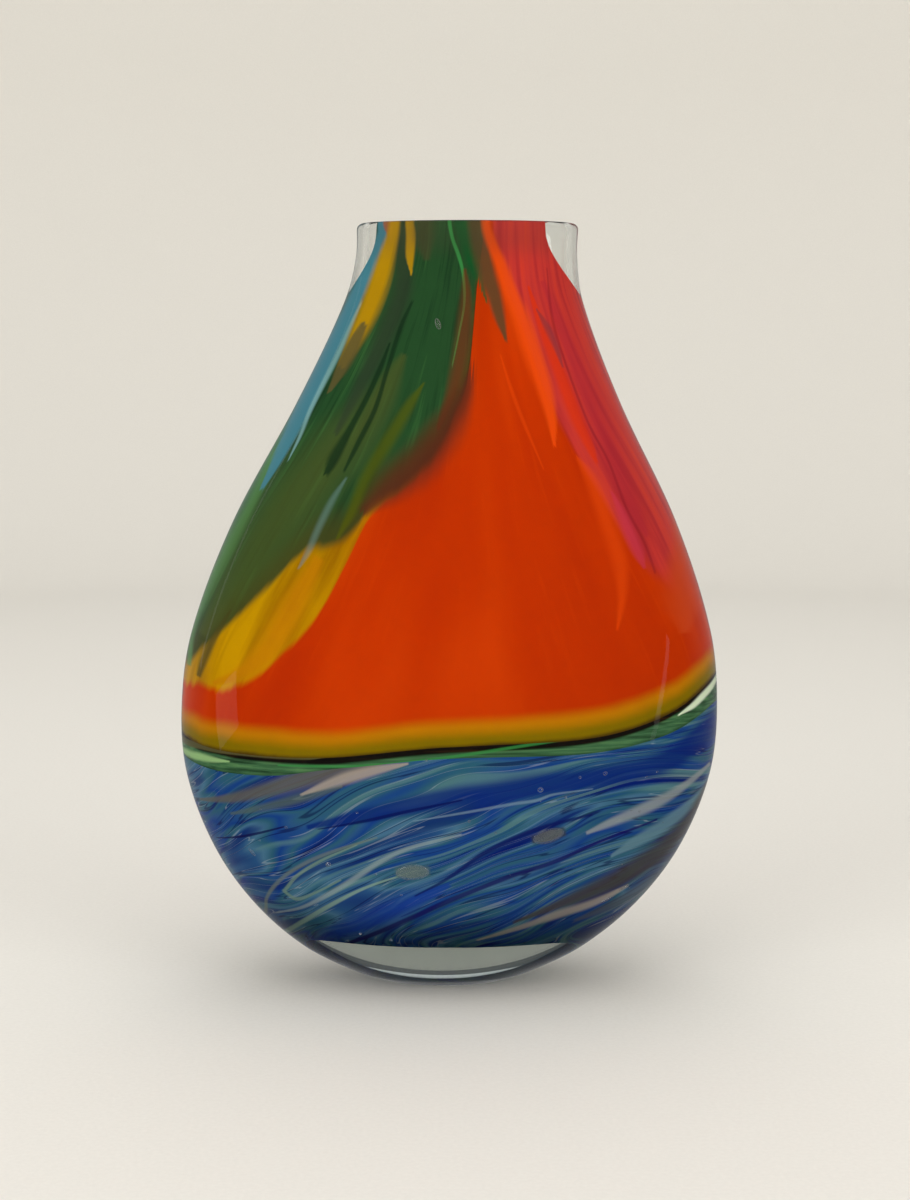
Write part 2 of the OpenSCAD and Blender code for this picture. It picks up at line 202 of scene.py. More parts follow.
CUP_STREAKS = {
    "cobalt_band": ("#0c2a7c", 0.5, 0.85, [(-50, 65.5, 0.8), (-28, 71, 2.6), (0, 77, 3.6),
        (16, 79, 3.8), (35, 82, 3.8), (56, 84, 4.0), (76, 87, 4.4), (96, 98, 4.4)]),
    "cobalt_low": ("#1d43a4", 0.8, 0.8, [(-47, 21, 1.5), (-35, 27, 4.0), (-18, 36, 4.0),
        (0, 45, 0.8)]),
    "smoke": ("#6a6459", 0.6, 0.8, [(-90, 71, 0.5), (-78, 74, 1.6), (-66, 78, 2.6), (-52, 83, 3.4),
        (-38, 87, 3.0), (-24, 90, 1.0)]),
    "smoke_low": ("#5c6f66", 0.6, 0.7, [(-78, 68, 0.5), (-62, 73, 1.6), (-50, 77, 1.8),
        (-38, 81, 0.6)]),
    "peach": ("#b5a698", 0.6, 0.85, [(-52, 77.5, 0.4), (-43, 81.5, 1.5), (-35, 84.5, 2.1),
        (-25, 87.3, 1.6), (-15, 89.5, 0.4)]),
    "steel": ("#6f93a0", 0.5, 0.8, [(58, 54, 0.6), (68, 59, 2.2), (79, 64.5, 2.6), (92, 73, 1.5)]),
    "pearl": ("#a3a8a6", 0.6, 0.75, [(49, 63.5, 0.6), (58, 67, 1.5), (71, 71.5, 2.0), (82, 76, 1.5),
        (94, 83, 0.8)]),
    "smoke_right": ("#4e463e", 0.7, 0.85, [(23, 30, 0.5), (36, 35, 1.5), (49, 40, 2.8),
        (62, 45.5, 4.0), (76, 53, 4.4), (87, 63, 3.0), (94, 75, 1.4)]),
    "slate_right": ("#5d6470", 0.7, 0.7, [(44, 29, 0.5), (62, 35, 2.0), (76, 42, 3.4),
        (86, 52, 3.0), (92, 62, 1.0)]),
    "peach_low": ("#b0a496", 0.6, 0.8, [(10, 23, 0.3), (26, 28, 0.9), (39, 32.5, 1.4),
        (52, 36, 1.5), (64, 41, 0.6)]),
    "sage_white": ("#a3b2ac", 0.7, 0.6, [(4, 64, 0.3), (-14, 59, 0.7), (-24, 54, 0.9),
        (-35, 46, 0.9), (-43, 40.5, 0.8), (-53, 34, 0.6), (-62, 30.5, 0.3)]),
    "sage_upper_arm": ("#7f8a74", 0.7, 0.6, [(-26, 62.5, 0.3), (-41, 57, 0.6), (-51, 52, 0.7),
        (-60, 45, 0.7), (-66, 36, 0.6), (-65, 30, 0.5), (-60, 24, 0.3)]),
    "sage_inner_arm": ("#7f9a86", 0.5, 0.7, [(-33, 59.5, 0.2), (-45, 53.5, 0.5), (-54, 47, 0.6),
        (-59, 40.5, 0.6)]),
    "sage_inner_return": ("#7f9a86", 0.5, 0.7, [(-59.5, 40, 0.5), (-55, 37.3, 0.7), (-49, 40, 0.5),
        (-39, 46, 0.3)]),
    "sage_low_arm": ("#8fae9c", 0.5, 0.8, [(-12, 50.5, 0.2), (-29, 44, 0.5), (-41, 37, 0.8),
        (-50, 30, 0.9), (-55.5, 24, 0.8), (-53, 21, 0.5)]),
    "grey_eye": ("#56706c", 0.4, 0.85, [(-18, 49.7, 1.8), (-13, 50, 2.9), (-8, 50.3, 1.8)]),
    "brown_eye": ("#3f464c", 0.4, 0.9, [(30, 61.8, 1.6), (35, 63, 2.7), (40, 64.2, 1.6)]),
    "ink_left": ("#14104a", 0.4, 0.85, [(-84, 57, 0.2), (-72, 60.5, 0.5), (-59, 65, 0.3)]),
    "ink_long": ("#0a1458", 0.4, 0.8, [(-46, 65, 0.2), (-28, 69, 0.6), (-14, 72.5, 0.6),
        (4, 76.5, 0.3)]),
    "ink_low": ("#1a1060", 0.5, 0.85, [(-38, 20, 0.5), (-27, 25, 0.9), (-14, 32, 0.9), (2, 40, 0.9),
        (21, 48, 0.9), (37, 53, 0.8), (54, 60, 0.6), (74, 66, 0.4)]),
    "ink_high": ("#101a60", 0.5, 0.8, [(-12, 41, 0.3), (0, 48, 0.6), (12, 57, 0.8), (25, 63.5, 0.8),
        (38, 67.5, 0.7), (50, 70, 0.4)]),
    "pale_line": ("#8fa9b4", 0.7, 0.5, [(-12, 69, 0.2), (5, 72, 0.4), (22, 75, 0.5),
        (31, 76.2, 0.5), (36, 78, 0.4), (50, 79.5, 0.2)]),
}


def linear(code):
    """Turns an sRGB hex colour to a linear one with full alpha."""
    shares = [int(code[i : i + 2], 16) / 255 for i in (1, 3, 5)]
    return tuple(s / 12.92 if s <= 0.04045 else ((s + 0.055) / 1.055) ** 2.4 for s in shares) + (1.0,)


# ---------------------------------------------------------------------------
# The form
# ---------------------------------------------------------------------------


def row_of(guide):
    """Number of the row that lies on a named guide."""
    return sum(ROWS[: GUIDES.index(guide)])


def smooth_through(knots, values, at):
    """Smooth curve through the given points, read at every number in at."""
    knots, values = np.asarray(knots, float), np.asarray(values, float)
    slopes = np.empty(len(knots))
    slopes[1:-1] = (values[2:] - values[:-2]) / (knots[2:] - knots[:-2])
    slopes[0] = (values[1] - values[0]) / (knots[1] - knots[0])
    slopes[-1] = (values[-1] - values[-2]) / (knots[-1] - knots[-2])
    i = np.clip(np.searchsorted(knots, at, side="right") - 1, 0, len(knots) - 2)
    gap = knots[i + 1] - knots[i]
    t = (at - knots[i]) / gap
    return (
        values[i] * (2 * t**3 - 3 * t**2 + 1)
        + values[i + 1] * (3 * t**2 - 2 * t**3)
        + gap * slopes[i] * (t**3 - 2 * t**2 + t)
        + gap * slopes[i + 1] * (t**3 - t**2)
    )


def round_the_vase(table, angle):
    """Smooth closed curve through (angle, value) pairs."""
    before = [(a - 360, v) for a, v in table[-2:]]
    after = [(a + 360, v) for a, v in table[:2]]
    knots, values = zip(*(before + table + after))
    return smooth_through(knots, values, np.mod(angle, 360))


def outline(sizes, height):
    """Half width, half depth and lean of the outside at each height."""
    whole, width, depth = sizes.height / MM, sizes.belly_width / MM / 2, sizes.belly_depth / MM / 2
    foot = (sizes.foot_width / MM / 2, sizes.foot_depth / MM / 2)
    mouth = (sizes.mouth_width / MM / 2, sizes.mouth_depth / MM / 2)
    lean, foot_lean = sizes.mouth_lean / MM, -sizes.foot_lean / MM
    level, wide, deep = HEEL_STATION
    stations = [(0, *foot, foot_lean), (level * whole, wide * width, deep * depth, foot_lean)]
    stations += [(z * whole, w * width, d * depth, x) for z, w, d, x in BODY_STATIONS]
    level, wide, deep, share = NECK_STATION
    stations.append((level * whole, wide * width, deep * depth, share * lean))
    level, wide, deep, share = COLLAR_STATION
    stations.append((level * whole, wide * mouth[0], deep * mouth[1], share * lean))
    stations.append((whole, *mouth, lean))
    knots, *columns = np.array(stations).T
    return [smooth_through(knots, column, height) for column in columns]


def on_form(sizes, angle, height, inset, share=1.0):
    """Points at angles and heights, set in from the outside and drawn to the middle by share."""
    half_width, half_depth, lean = outline(sizes, height)
    turn = np.radians(angle)
    across, back = [np.sign(v) * np.abs(v) ** (2 / SQUARENESS) for v in (np.cos(turn), np.sin(turn))]
    x = lean + share * (half_width - inset) * across
    y = share * (half_depth - inset) * back
    return np.stack([x, y, height + 0 * turn], -1)


def guide_heights(sizes, angle):
    """Heights of the edges between the colours at each angle, from the bottom up."""
    seam = sizes.seam_height / MM + round_the_vase(SEAM_RISE, angle)
    wrap = seam - sizes.thread_width / MM
    cup = wrap - sizes.wrap_width / MM - np.maximum(round_the_vase(WRAP_SPREAD, angle), 0)
    amber = seam + sizes.amber_width / MM
    left = 1 - np.abs(angle - 180) / sizes.left_window
    right = 1 - np.minimum(angle, 360 - angle) / sizes.right_window
    window = sizes.window_height / MM * np.sqrt(np.maximum(np.maximum(left, right), 0))
    colour = sizes.height / MM - RIM_MARGIN - window
    edge = round_the_vase(FIELD_EDGE, angle)
    spread = np.maximum(round_the_vase(YELLOW_SPREAD, angle), 0)
    field = np.minimum(edge, colour - 2 * EDGE_GAP)
    yellow = np.minimum(field + np.maximum(EDGE_GAP, spread), colour - EDGE_GAP)
    cap = sizes.base_thickness / MM + CAP_RISE + 0 * angle
    return {"cap": cap, "cup": cup, "wrap": wrap, "seam": seam, "amber": amber, "field": field,
            "yellow": yellow, "colour": colour, "edge": edge, "spread": spread}


def cap_points(sizes, angle, floor, inset):
    """Rings of a rounded bottom, from near its middle up to the wall."""
    top = sizes.base_thickness / MM + CAP_RISE
    rise = (np.arange(1, CAP_ROWS) / CAP_ROWS) ** 2
    share = (1 - (1 - rise) ** CAP_ROUNDNESS) ** (1 / CAP_ROUNDNESS)
    levels = [floor + f * (top - floor) + 0 * angle for f in rise]
    return np.stack([on_form(sizes, angle, z, inset, s) for z, s in zip(levels, share)])


def colour_skins(sizes):
    """Rings of points on the outer and the inner face of the colour layer, from the bottom up."""
    angle = np.arange(COLUMNS) * 360 / COLUMNS
    guides = guide_heights(sizes, angle)
    heights = []
    for low, high, steps in zip(GUIDES, GUIDES[1:], ROWS):
        for step in range(steps):
            heights.append(guides[low] + (guides[high] - guides[low]) * step / steps)
    heights.append(guides["colour"])
    skins = []
    for extra in (0, sizes.colour_thickness / MM):
        inset = sizes.casing_thickness / MM + extra
        floor = sizes.base_thickness / MM + extra
        wall = [on_form(sizes, angle, height, inset) for height in heights]
        skins.append(np.concatenate([cap_points(sizes, angle, floor, inset), wall]))
    return skins


# ---------------------------------------------------------------------------
# Meshes
# ---------------------------------------------------------------------------


SHARP_FROM = 50.0  # degrees between faces that make a sharp edge


def make_object(name, points, faces, flat_faces=0):
    """Object at the origin from points in millimetres; its last flat_faces faces stay flat."""
    mesh = bpy.data.meshes.new(name)
    mesh.from_pydata((np.asarray(points) * MM).tolist(), [], faces)
    smooth = np.ones(len(faces), bool)
    if flat_faces:
        smooth[-flat_faces:] = False
    mesh.polygons.foreach_set("use_smooth", smooth)
    mesh.validate()
    if faces:
        mesh.set_sharp_from_angle(angle=np.radians(SHARP_FROM))
    made = bpy.data.objects.new(name, mesh)
    bpy.context.collection.objects.link(made)
    return made


def strip_faces(lower, upper, closed):
    """Four-sided faces between two rings of point numbers, seen from outside the vase."""
    last = len(lower) if closed else len(lower) - 1
    turned = [(i, (i + 1) % len(lower)) for i in range(last)]
    return [(lower[i], lower[j], upper[j], upper[i]) for i, j in turned]


def fan_faces(middle, ring):
    """Triangles from a middle point to a closed ring, seen from below."""
    return [(ring[(i + 1) % len(ring)], ring[i], middle) for i in range(len(ring))]


def reversed_faces(faces):
    """The same faces looking the other way."""
    return [tuple(reversed(face)) for face in faces]


def closed_layer(name, skins, low_row, high_row, columns):
    """A closed piece of the colour layer, between two rows and over a run of columns."""
    whole_turn = len(columns) == COLUMNS
    from_pole = low_row is None
    first = 0 if from_pole else low_row + CAP_ROWS - 1
    rows = range(first, high_row + CAP_ROWS)
    points = [skin[row][columns] for skin in skins for row in rows]
    width, height = len(columns), len(rows)
    numbers = np.arange(2 * width * height).reshape(2, height, width)
    outer, inner = numbers.tolist()
    points = np.concatenate(points)
    faces, flat = [], []
    for row in range(height - 1):
        faces += strip_faces(outer[row], outer[row + 1], whole_turn)
        faces += reversed_faces(strip_faces(inner[row], inner[row + 1], whole_turn))
    flat += strip_faces(outer[-1], inner[-1], whole_turn)
    if from_pole:
        middles = [skin[0].mean(0) * (1, 0, 1) for skin in skins]
        points = np.concatenate([points, middles])
        faces += fan_faces(len(points) - 2, outer[0])
        faces += reversed_faces(fan_faces(len(points) - 1, inner[0]))
    else:
        flat += strip_faces(inner[0], outer[0], whole_turn)
    if not whole_turn:
        starts, ends = numbers[:, :, 0].tolist(), numbers[:, :, -1].tolist()
        flat += strip_faces(starts[0], starts[1], False)
        flat += strip_faces(ends[1], ends[0], False)
    return make_object(name, points, faces + flat, len(flat))


FIELD_LIMIT = 6.0  # half widths from a streak beyond which its field stays the same
SIDE_FADE = 20.0  # mm behind the widest line over which a streak of the front fades away
LEAST_HALF_WIDTH = 0.15  # mm
PATH_STEPS = 8  # pieces of the curve for each point of a streak's path


def streak_field(path, places):
    """How far each place lies across a streak, in half widths, and whether it is between its ends.

    The first number is signed, so that it passes evenly through nothing at the middle of the
    streak; the second falls from one at an end to nothing a half width past it.
    """
    knots = np.array(path, float)
    steps = np.concatenate([[0], np.cumsum(np.hypot(*np.diff(knots[:, :2], axis=0).T))])
    fine = np.linspace(0, steps[-1], PATH_STEPS * len(path))
    x, z, half = [smooth_through(steps, knots[:, i], fine) for i in range(3)]
    half = np.maximum(half, LEAST_HALF_WIDTH)
    run = np.stack([np.diff(x), np.diff(z)], -1)
    length = np.hypot(run[:, 0], run[:, 1])
    offset_x = places[:, 0:1] - x[:-1]
    offset_z = places[:, 2:3] - z[:-1]
    along = (offset_x * run[:, 0] + offset_z * run[:, 1]) / length**2
    held = np.clip(along, 0, 1)
    gap = np.hypot(offset_x - held * run[:, 0], offset_z - held * run[:, 1])
    best = gap.argmin(1)
    every = np.arange(len(places))
    t = held[every, best]
    width = half[best] * (1 - t) + half[best + 1] * t
    across = (offset_x * run[:, 1] - offset_z * run[:, 0])[every, best] / length[best]
    over = np.maximum(-along, along - 1)[every, best] * length[best]
    at_end = (best == 0) & (along[every, 0] < 0) | (best == len(run) - 1) & (along[every, -1] > 1)
    behind = places[:, 1] / SIDE_FADE
    inside = 1 - np.maximum(np.where(at_end, over / np.maximum(width, 1), 0), behind)
    return np.clip(across / width, -FIELD_LIMIT, FIELD_LIMIT), np.clip(inside, -1, 1)


FAN_TURN = 20.0  # degrees that the streaks spread over each fall of FAN_DROP mm
FAN_DROP = 90.0
FAN_MIDDLE = 276.0
FAN_LENGTH = 700.0  # mm along a streak for one unit of its pattern
FLOW_SLOPE = 0.67  # of the marbling at the front, easing off with height
FLOW_BEND = 0.0052
FLOW_TWIST = 0.12
DRIFT_LENGTH = 100.0  # mm of marbling for one unit of its pattern, along, back and across
DRIFT_DEPTH = 60.0
DRIFT_WIDTH = 10.0
DRIFT_LEAN = 0.4  # how much the pattern also moves along with height
SIDE_SCALE = 100.0  # distance from the point of the orange, as told a quarter turn from it
STREAK_REACH = 2.0  # half widths from its middle line within which a streak shows


def set_attribute(piece, name, values):
    """Stores one number, or three, for each point of a piece."""
    values = np.asarray(values, float)
    kind = "FLOAT" if values.ndim == 1 else "FLOAT_VECTOR"
    stored = piece.data.attributes.new(name, kind, "POINT")
    stored.data.foreach_set("value" if values.ndim == 1 else "vector", values.ravel())


def set_colour_attributes(sizes, piece, streaks):
    """Stores where each point lies among the edges and streaks of the colours."""
    places = np.array([v.co[:] for v in piece.data.vertices]) / MM
    half_width, half_depth, lean = outline(sizes, places[:, 2])
    sides = [(places[:, 0] - lean) / half_width, places[:, 1] / half_depth]
    across, back = [np.sign(v) * np.abs(v) ** (SQUARENESS / 2) for v in sides]
    angle = np.mod(np.degrees(np.arctan2(back, across)), 360)
    guides = guide_heights(sizes, angle)
    set_attribute(piece, "over_seam", places[:, 2] - guides["seam"])
    set_attribute(piece, "over_cup", places[:, 2] - guides["cup"])
    set_attribute(piece, "over_orange", places[:, 2] - guides["edge"])
    set_attribute(piece, "over_yellow", places[:, 2] - guides["edge"] - guides["spread"])
    set_attribute(piece, "under_rim", sizes.height / MM - places[:, 2])
    set_attribute(piece, "hand", SIDE_SCALE * np.sin(np.radians(angle - POINT_ANGLE)))
    drop = (sizes.height / MM - places[:, 2]) / FAN_DROP
    fanned = np.radians(angle - FAN_TURN * np.sin(np.radians(angle - FAN_MIDDLE)) * drop)
    fan = [np.cos(fanned), np.sin(fanned), places[:, 2] / FAN_LENGTH]
    set_attribute(piece, "fan", np.stack(fan, -1))
    x, y, z = places.T
    flow = z - FLOW_SLOPE * x + FLOW_BEND * x * z + FLOW_TWIST * y
    drift = np.stack([(x + DRIFT_LEAN * z) / DRIFT_LENGTH, y / DRIFT_DEPTH, flow / DRIFT_WIDTH], -1)
    set_attribute(piece, "drift", drift)
    for name, (_, _, _, path) in streaks.items():
        fields = streak_field(path, places)
        if (np.abs(fields[0]) < STREAK_REACH)[fields[1] > 0].any():
            set_attribute(piece, name, np.stack([*fields, 0 * x], -1))


LIP_SEGMENTS = 10
WALL_ROWS = 150
ROW_CROWDING = 1.6  # rows of the wall stand closer towards the foot, where it curves most
FOOT_BEVEL = 0.5  # mm
BEVEL_TURN = 0.3  # of the bevel, in and up: the middle of its rounding
HOLLOW_SHARE = 0.88  # of the foot that is ground and polished hollow
HOLLOW_RISE = 6.0  # mm at the middle of the hollow
HOLLOW_RINGS = 24
GLASS_COLUMNS = 288


def clear_body(sizes, name):
    """The clear glass as one closed skin: foot, outer face, lip, inner face and rounded well."""
    angle = np.arange(GLASS_COLUMNS) * 360 / GLASS_COLUMNS
    height = sizes.height / MM
    wall = (sizes.casing_thickness + sizes.colour_thickness + sizes.lining_thickness) / MM
    lip = wall / 2
    levels = FOOT_BEVEL + (height - lip - FOOT_BEVEL) * np.linspace(0, 1, WALL_ROWS) ** ROW_CROWDING
    rings = []
    for turn in np.linspace(0, np.pi / 2, HOLLOW_RINGS + 1)[1:]:
        ring = on_form(sizes, angle, 0 * angle, FOOT_BEVEL, HOLLOW_SHARE * np.sin(turn))
        rings.append(ring + (0, 0, HOLLOW_RISE * np.cos(turn)))
    rings.append(on_form(sizes, angle, 0 * angle, FOOT_BEVEL))
    turn = BEVEL_TURN * FOOT_BEVEL
    rings.append(on_form(sizes, angle, turn + 0 * angle, turn))
    rings += [on_form(sizes, angle, z + 0 * angle, 0) for z in levels]
    for turn in np.linspace(0, np.pi, LIP_SEGMENTS + 1)[1:]:
        level = on_form(sizes, angle, height - lip + 0 * angle, lip * (1 - np.cos(turn)))
        rings.append(level + (0, 0, lip * np.sin(turn)))
    floor = (sizes.base_thickness + sizes.colour_thickness + sizes.lining_thickness) / MM
    well = sizes.base_thickness / MM + CAP_RISE
    down = np.linspace(height - lip, well, WALL_ROWS // 2)[1:]
    rings += [on_form(sizes, angle, z + 0 * angle, wall) for z in down]
    rings += list(cap_points(sizes, angle, floor, wall)[::-1])
    rows = np.arange(len(rings) * GLASS_COLUMNS).reshape(len(rings), -1).tolist()
    foot_middle = rings[0].mean(0) * (1, 1, 0) + (0, 0, HOLLOW_RISE)
    well_middle = rings[-1].mean(0) * (1, 0, 0) + (0, 0, floor)
    points = np.concatenate(rings + [[foot_middle, well_middle]])
    faces = []
    for lower, upper in zip(rows, rows[1:]):
        faces += strip_faces(lower, upper, True)
    faces += reversed_faces(fan_faces(len(points) - 1, rows[-1]))
    faces += fan_faces(len(points) - 2, rows[0])
    return make_object(name, points, faces)


# ---------------------------------------------------------------------------
# Materials
# ---------------------------------------------------------------------------


def node(tree, kind, inputs=None, **settings):
    """Adds a node: settings are its properties, inputs its sockets, each a value or a link."""
    made = tree.nodes.new(kind)
    stops = settings.pop("stops", None)
    for name, value in settings.items():
        setattr(made, name, value)
    for key, value in (inputs or {}).items():
        if isinstance(value, bpy.types.NodeSocket):
            tree.links.new(value, made.inputs[key])
        else:
            made.inputs[key].default_value = value
    if stops:
        while len(made.color_ramp.elements) < len(stops):
            made.color_ramp.elements.new(1.0)
        for element, (place, colour) in zip(made.color_ramp.elements, stops):
            element.position = place
            element.color = colour
    return made


def empty_material(name):
    """A material with an empty node tree and its output."""
    material = bpy.data.materials.new(name)
    material.use_nodes = True
    material.node_tree.nodes.clear()
    return material, material.node_tree, material.node_tree.nodes.new("ShaderNodeOutputMaterial")


def lay_over(tree, under, colour, where, start, full, strength=1.0, blend="SMOOTHSTEP"):
    """Lays one colour over another as a value goes from start, none of it, to full."""
    limits = {"Value": where, "From Min": start, "From Max": full, "To Max": strength}
    cover = node(tree, "ShaderNodeMapRange", limits, interpolation_type=blend)
    return node(tree, "ShaderNodeMix", {0: cover.outputs[0], 6: under, 7: colour},
                data_type="RGBA").outputs[2]


def attribute(tree, name, output="Fac"):
    """The socket that gives a stored attribute."""
    return node(tree, "ShaderNodeAttribute", attribute_name=name).outputs[output]


def noise(tree, place, scale, detail=3.0, stretch=(1, 1, 1), shift=(0, 0, 0), distortion=0.0,
          output="Fac"):
    """Fractal noise on a place that is stretched and shifted first."""
    placed = node(tree, "ShaderNodeMapping", {"Vector": place, "Scale": stretch, "Location": shift})
    settings = {"Vector": placed.outputs[0], "Scale": scale, "Detail": detail,
                "Distortion": distortion}
    return node(tree, "ShaderNodeTexNoise", settings).outputs[output]


def nudged(tree, value, wobble, amount):
    """A value pushed to and fro by a noise that runs from nothing to one."""
    centred = node(tree, "ShaderNodeMath", {0: wobble, 1: 0.5}, operation="SUBTRACT")
    inputs = {0: centred.outputs[0], 1: amount, 2: value}
    return node(tree, "ShaderNodeMath", inputs, operation="MULTIPLY_ADD").outputs[0]


STREAK_WOBBLE = 0.7  # half widths


def lay_streaks(tree, under, streaks, wobble):
    """Lays the listed streaks over a colour, with slightly uneven edges."""
    for name, (code, softness, strength, _) in streaks.items():
        fields = node(tree, "ShaderNodeSeparateXYZ", {0: attribute(tree, name, "Vector")})
        uneven = nudged(tree, fields.outputs[0], wobble, STREAK_WOBBLE)
        across = node(tree, "ShaderNodeMath", {0: uneven}, operation="ABSOLUTE")
        limits = {"Value": fields.outputs[1], "From Min": 0.0, "From Max": 0.8, "To Max": strength}
        between = node(tree, "ShaderNodeMapRange", limits, interpolation_type="SMOOTHSTEP")
        limits = {"Value": across.outputs[0], "From Min": 1 + softness, "From Max": 1 - softness}
        near = node(tree, "ShaderNodeMapRange", limits, interpolation_type="SMOOTHSTEP")
        cover = node(tree, "ShaderNodeMath", {0: near.outputs[0], 1: between.outputs[0]},
                     operation="MULTIPLY")
        under = node(tree, "ShaderNodeMix", {0: cover.outputs[0], 6: under, 7: linear(code)},
                     data_type="RGBA").outputs[2]
    return under


def embedded_glass(tree, output, colour):
    """Opaque coloured glass with clear glass fused over it: no surface gloss of its own."""
    shader = node(tree, "ShaderNodeBsdfPrincipled", {"Base Color": colour, "Roughness": 0.6,
                                                     "Specular IOR Level": 0.0})
    tree.links.new(shader.outputs[0], output.inputs["Surface"])


def let_light_through(tree, output, glass, tint):
    """Shows glass to every ray but those that look for a lamp, which pass it straight."""
    through = node(tree, "ShaderNodeBsdfTransparent", {"Color": tint})
    ray = node(tree, "ShaderNodeLightPath")
    mixed = node(tree, "ShaderNodeMixShader",
                 {0: ray.outputs["Is Shadow Ray"], 1: glass.outputs[0], 2: through.outputs[0]})
    tree.links.new(mixed.outputs[0], output.inputs["Surface"])


RIPPLE_LENGTH = 26 * MM  # of the slow waves in a blown surface
RIPPLE_DEPTH = 0.4 * MM


def clear_glass():
    """Clear soda-lime glass, blown and fire polished: slow ripples, sharp reflections.

    It is colourless in a thin wall, and turns grey-green only over the depth of the base.
    """
    material, tree, output = empty_material("soda_lime_glass_fire_polished")
    coords = node(tree, "ShaderNodeTexCoord")
    ripple = noise(tree, coords.outputs["Object"], 1 / RIPPLE_LENGTH, detail=1.0, stretch=(1, 1, 0.6))
    bump = node(tree, "ShaderNodeBump", {"Height": ripple, "Strength": 0.05,
                                          "Distance": RIPPLE_DEPTH})
    glass = node(tree, "ShaderNodeBsdfPrincipled", {
        "Base Color": (0.985, 0.99, 0.98, 1), "Roughness": 0.0, "IOR": 1.5,
        "Transmission Weight": 1.0, "Normal": bump.outputs[0]})
    let_light_through(tree, output, glass, (0.93, 0.94, 0.93, 1))
    depth = node(tree, "ShaderNodeVolumeAbsorption", {"Color": (0.28, 0.36, 0.35, 1),
                                                      "Density": 24.0})
    tree.links.new(depth.outputs[0], output.inputs["Volume"])
    return material


def air_bubble():
    """Air trapped in the glass: a clear lens whose rim turns away the light and looks bright, painted
    as a partly matt white rim.
    """
    material, tree, output = empty_material("trapped_air_bubble")
    facing = node(tree, "ShaderNodeLayerWeight", {"Blend": 0.35}).outputs["Facing"]
    # Towards the rim about a third of the bubble is matt white: a painted highlight.
    clear = node(tree, "ShaderNodeMapRange", {"Value": facing, "From Min": 0.1, "From Max": 0.7,
                                              "To Min": 1.0, "To Max": 0.65})
    bead = node(tree, "ShaderNodeBsdfPrincipled", {
        "Base Color": (1.0, 1.0, 1.0, 1), "Roughness": 0.0, "IOR": 0.67,
        "Transmission Weight": clear.outputs[0]})
    let_light_through(tree, output, bead, (0.97, 0.97, 0.97, 1))
    return material


def upper_colours(glasses):
    """Opaque colour bars laid on a bubble and blown out: warm and green glass in long soft streaks.

    The whole upper body is one sheet, so every piece of it is painted by the same rules: orange
    first, then the yellow, the green, the red and the single streaks, each with soft edges.
    """
    material, tree, output = empty_material("blown_opaque_colour_bars")
    fan = attribute(tree, "fan", "Vector")
    over_seam = attribute(tree, "over_seam")
    over_orange = attribute(tree, "over_orange")
    over_yellow = attribute(tree, "over_yellow")
    hand = attribute(tree, "hand")
    under_rim = attribute(tree, "under_rim")
    broad = noise(tree, fan, 5.0, detail=2.0)
    streaky = noise(tree, fan, 14.0, stretch=(1, 1, 0.8), shift=(3, 1, 0))
    fine = noise(tree, fan, 38.0, stretch=(1, 1, 0.5), shift=(7, 2, 4))

    # Orange, a little deeper and redder in broad veils.
    orange = node(tree, "ShaderNodeValToRGB", {0: broad}, stops=[
        (0.3, glasses.orange_deep), (0.5, glasses.orange),
        (0.68, glasses.orange_bright)]).outputs[0]
    orange = lay_over(tree, orange, glasses.orange_bright, fine, 0.55, 0.75, 0.3)

    # Amber band: yellow amber above the thread, mixed with brown low down, fading up to orange.
    band_edge = nudged(tree, over_seam, broad, 5.0)
    amber = lay_over(tree, glasses.amber, glasses.amber_deep, band_edge, 7.5, 2.0)
    painted = lay_over(tree, orange, amber, band_edge, 12.0, 6.5)
    painted = lay_over(tree, painted, glasses.bark, nudged(tree, over_seam, streaky, 2.0),
                       1.6, -0.2, 0.8)

    # Yellow patch under the green: gold where it is thick, ending in olive at its left.
    gold = node(tree, "ShaderNodeValToRGB", {0: streaky}, stops=[
        (0.3, glasses.yellow_deep), (0.6, glasses.yellow)]).outputs[0]
    yellow_edge = nudged(tree, over_orange, streaky, 7.0)
    on_left = lay_over(tree, painted, gold, hand, -25.0, -60.0, blend="LINEAR")
    painted = lay_over(tree, painted, on_left, yellow_edge, -1.5, 2.5)

    # Green, from bottle green to moss, turning olive and brown along its border.
    green = node(tree, "ShaderNodeValToRGB", {0: streaky}, stops=[
        (0.25, glasses.green_dark), (0.45, glasses.green),
        (0.6, glasses.green), (0.75, glasses.green_light)]).outputs[0]
    green = lay_over(tree, green, glasses.green_dark, fine, 0.52, 0.7, 0.6)
    green_edge = nudged(tree, over_yellow, streaky, 9.0)
    green = lay_over(tree, green, glasses.olive, green_edge, 20.0, 5.0, 0.8)
    green = lay_over(tree, green, glasses.bark, nudged(tree, over_orange, broad, 6.0),
                     7.0, 1.0, 0.8)
    with_green = lay_over(tree, painted, green, green_edge, -2.0, 3.5)
    painted = lay_over(tree, painted, with_green, hand, 2.0, -3.0, blend="LINEAR")

    # Red with darker and pinker veils, its border soft and a little bright.
    red = node(tree, "ShaderNodeValToRGB", {0: streaky}, stops=[
        (0.3, glasses.red_deep), (0.5, glasses.red),
        (0.7, glasses.red_bright)]).outputs[0]
    red_edge = nudged(tree, over_orange, streaky, 10.0)
    with_red = lay_over(tree, painted, red, red_edge, -3.0, 9.0)
    painted = lay_over(tree, painted, with_red, hand, 2.0, 6.0, blend="LINEAR")

    painted = lay_streaks(tree, painted, UPPER_STREAKS, streaky)
    painted = lay_over(tree, painted, glasses.neck_shade, under_rim, 16.0, 6.0, 0.22)
    embedded_glass(tree, output, painted)
    return material


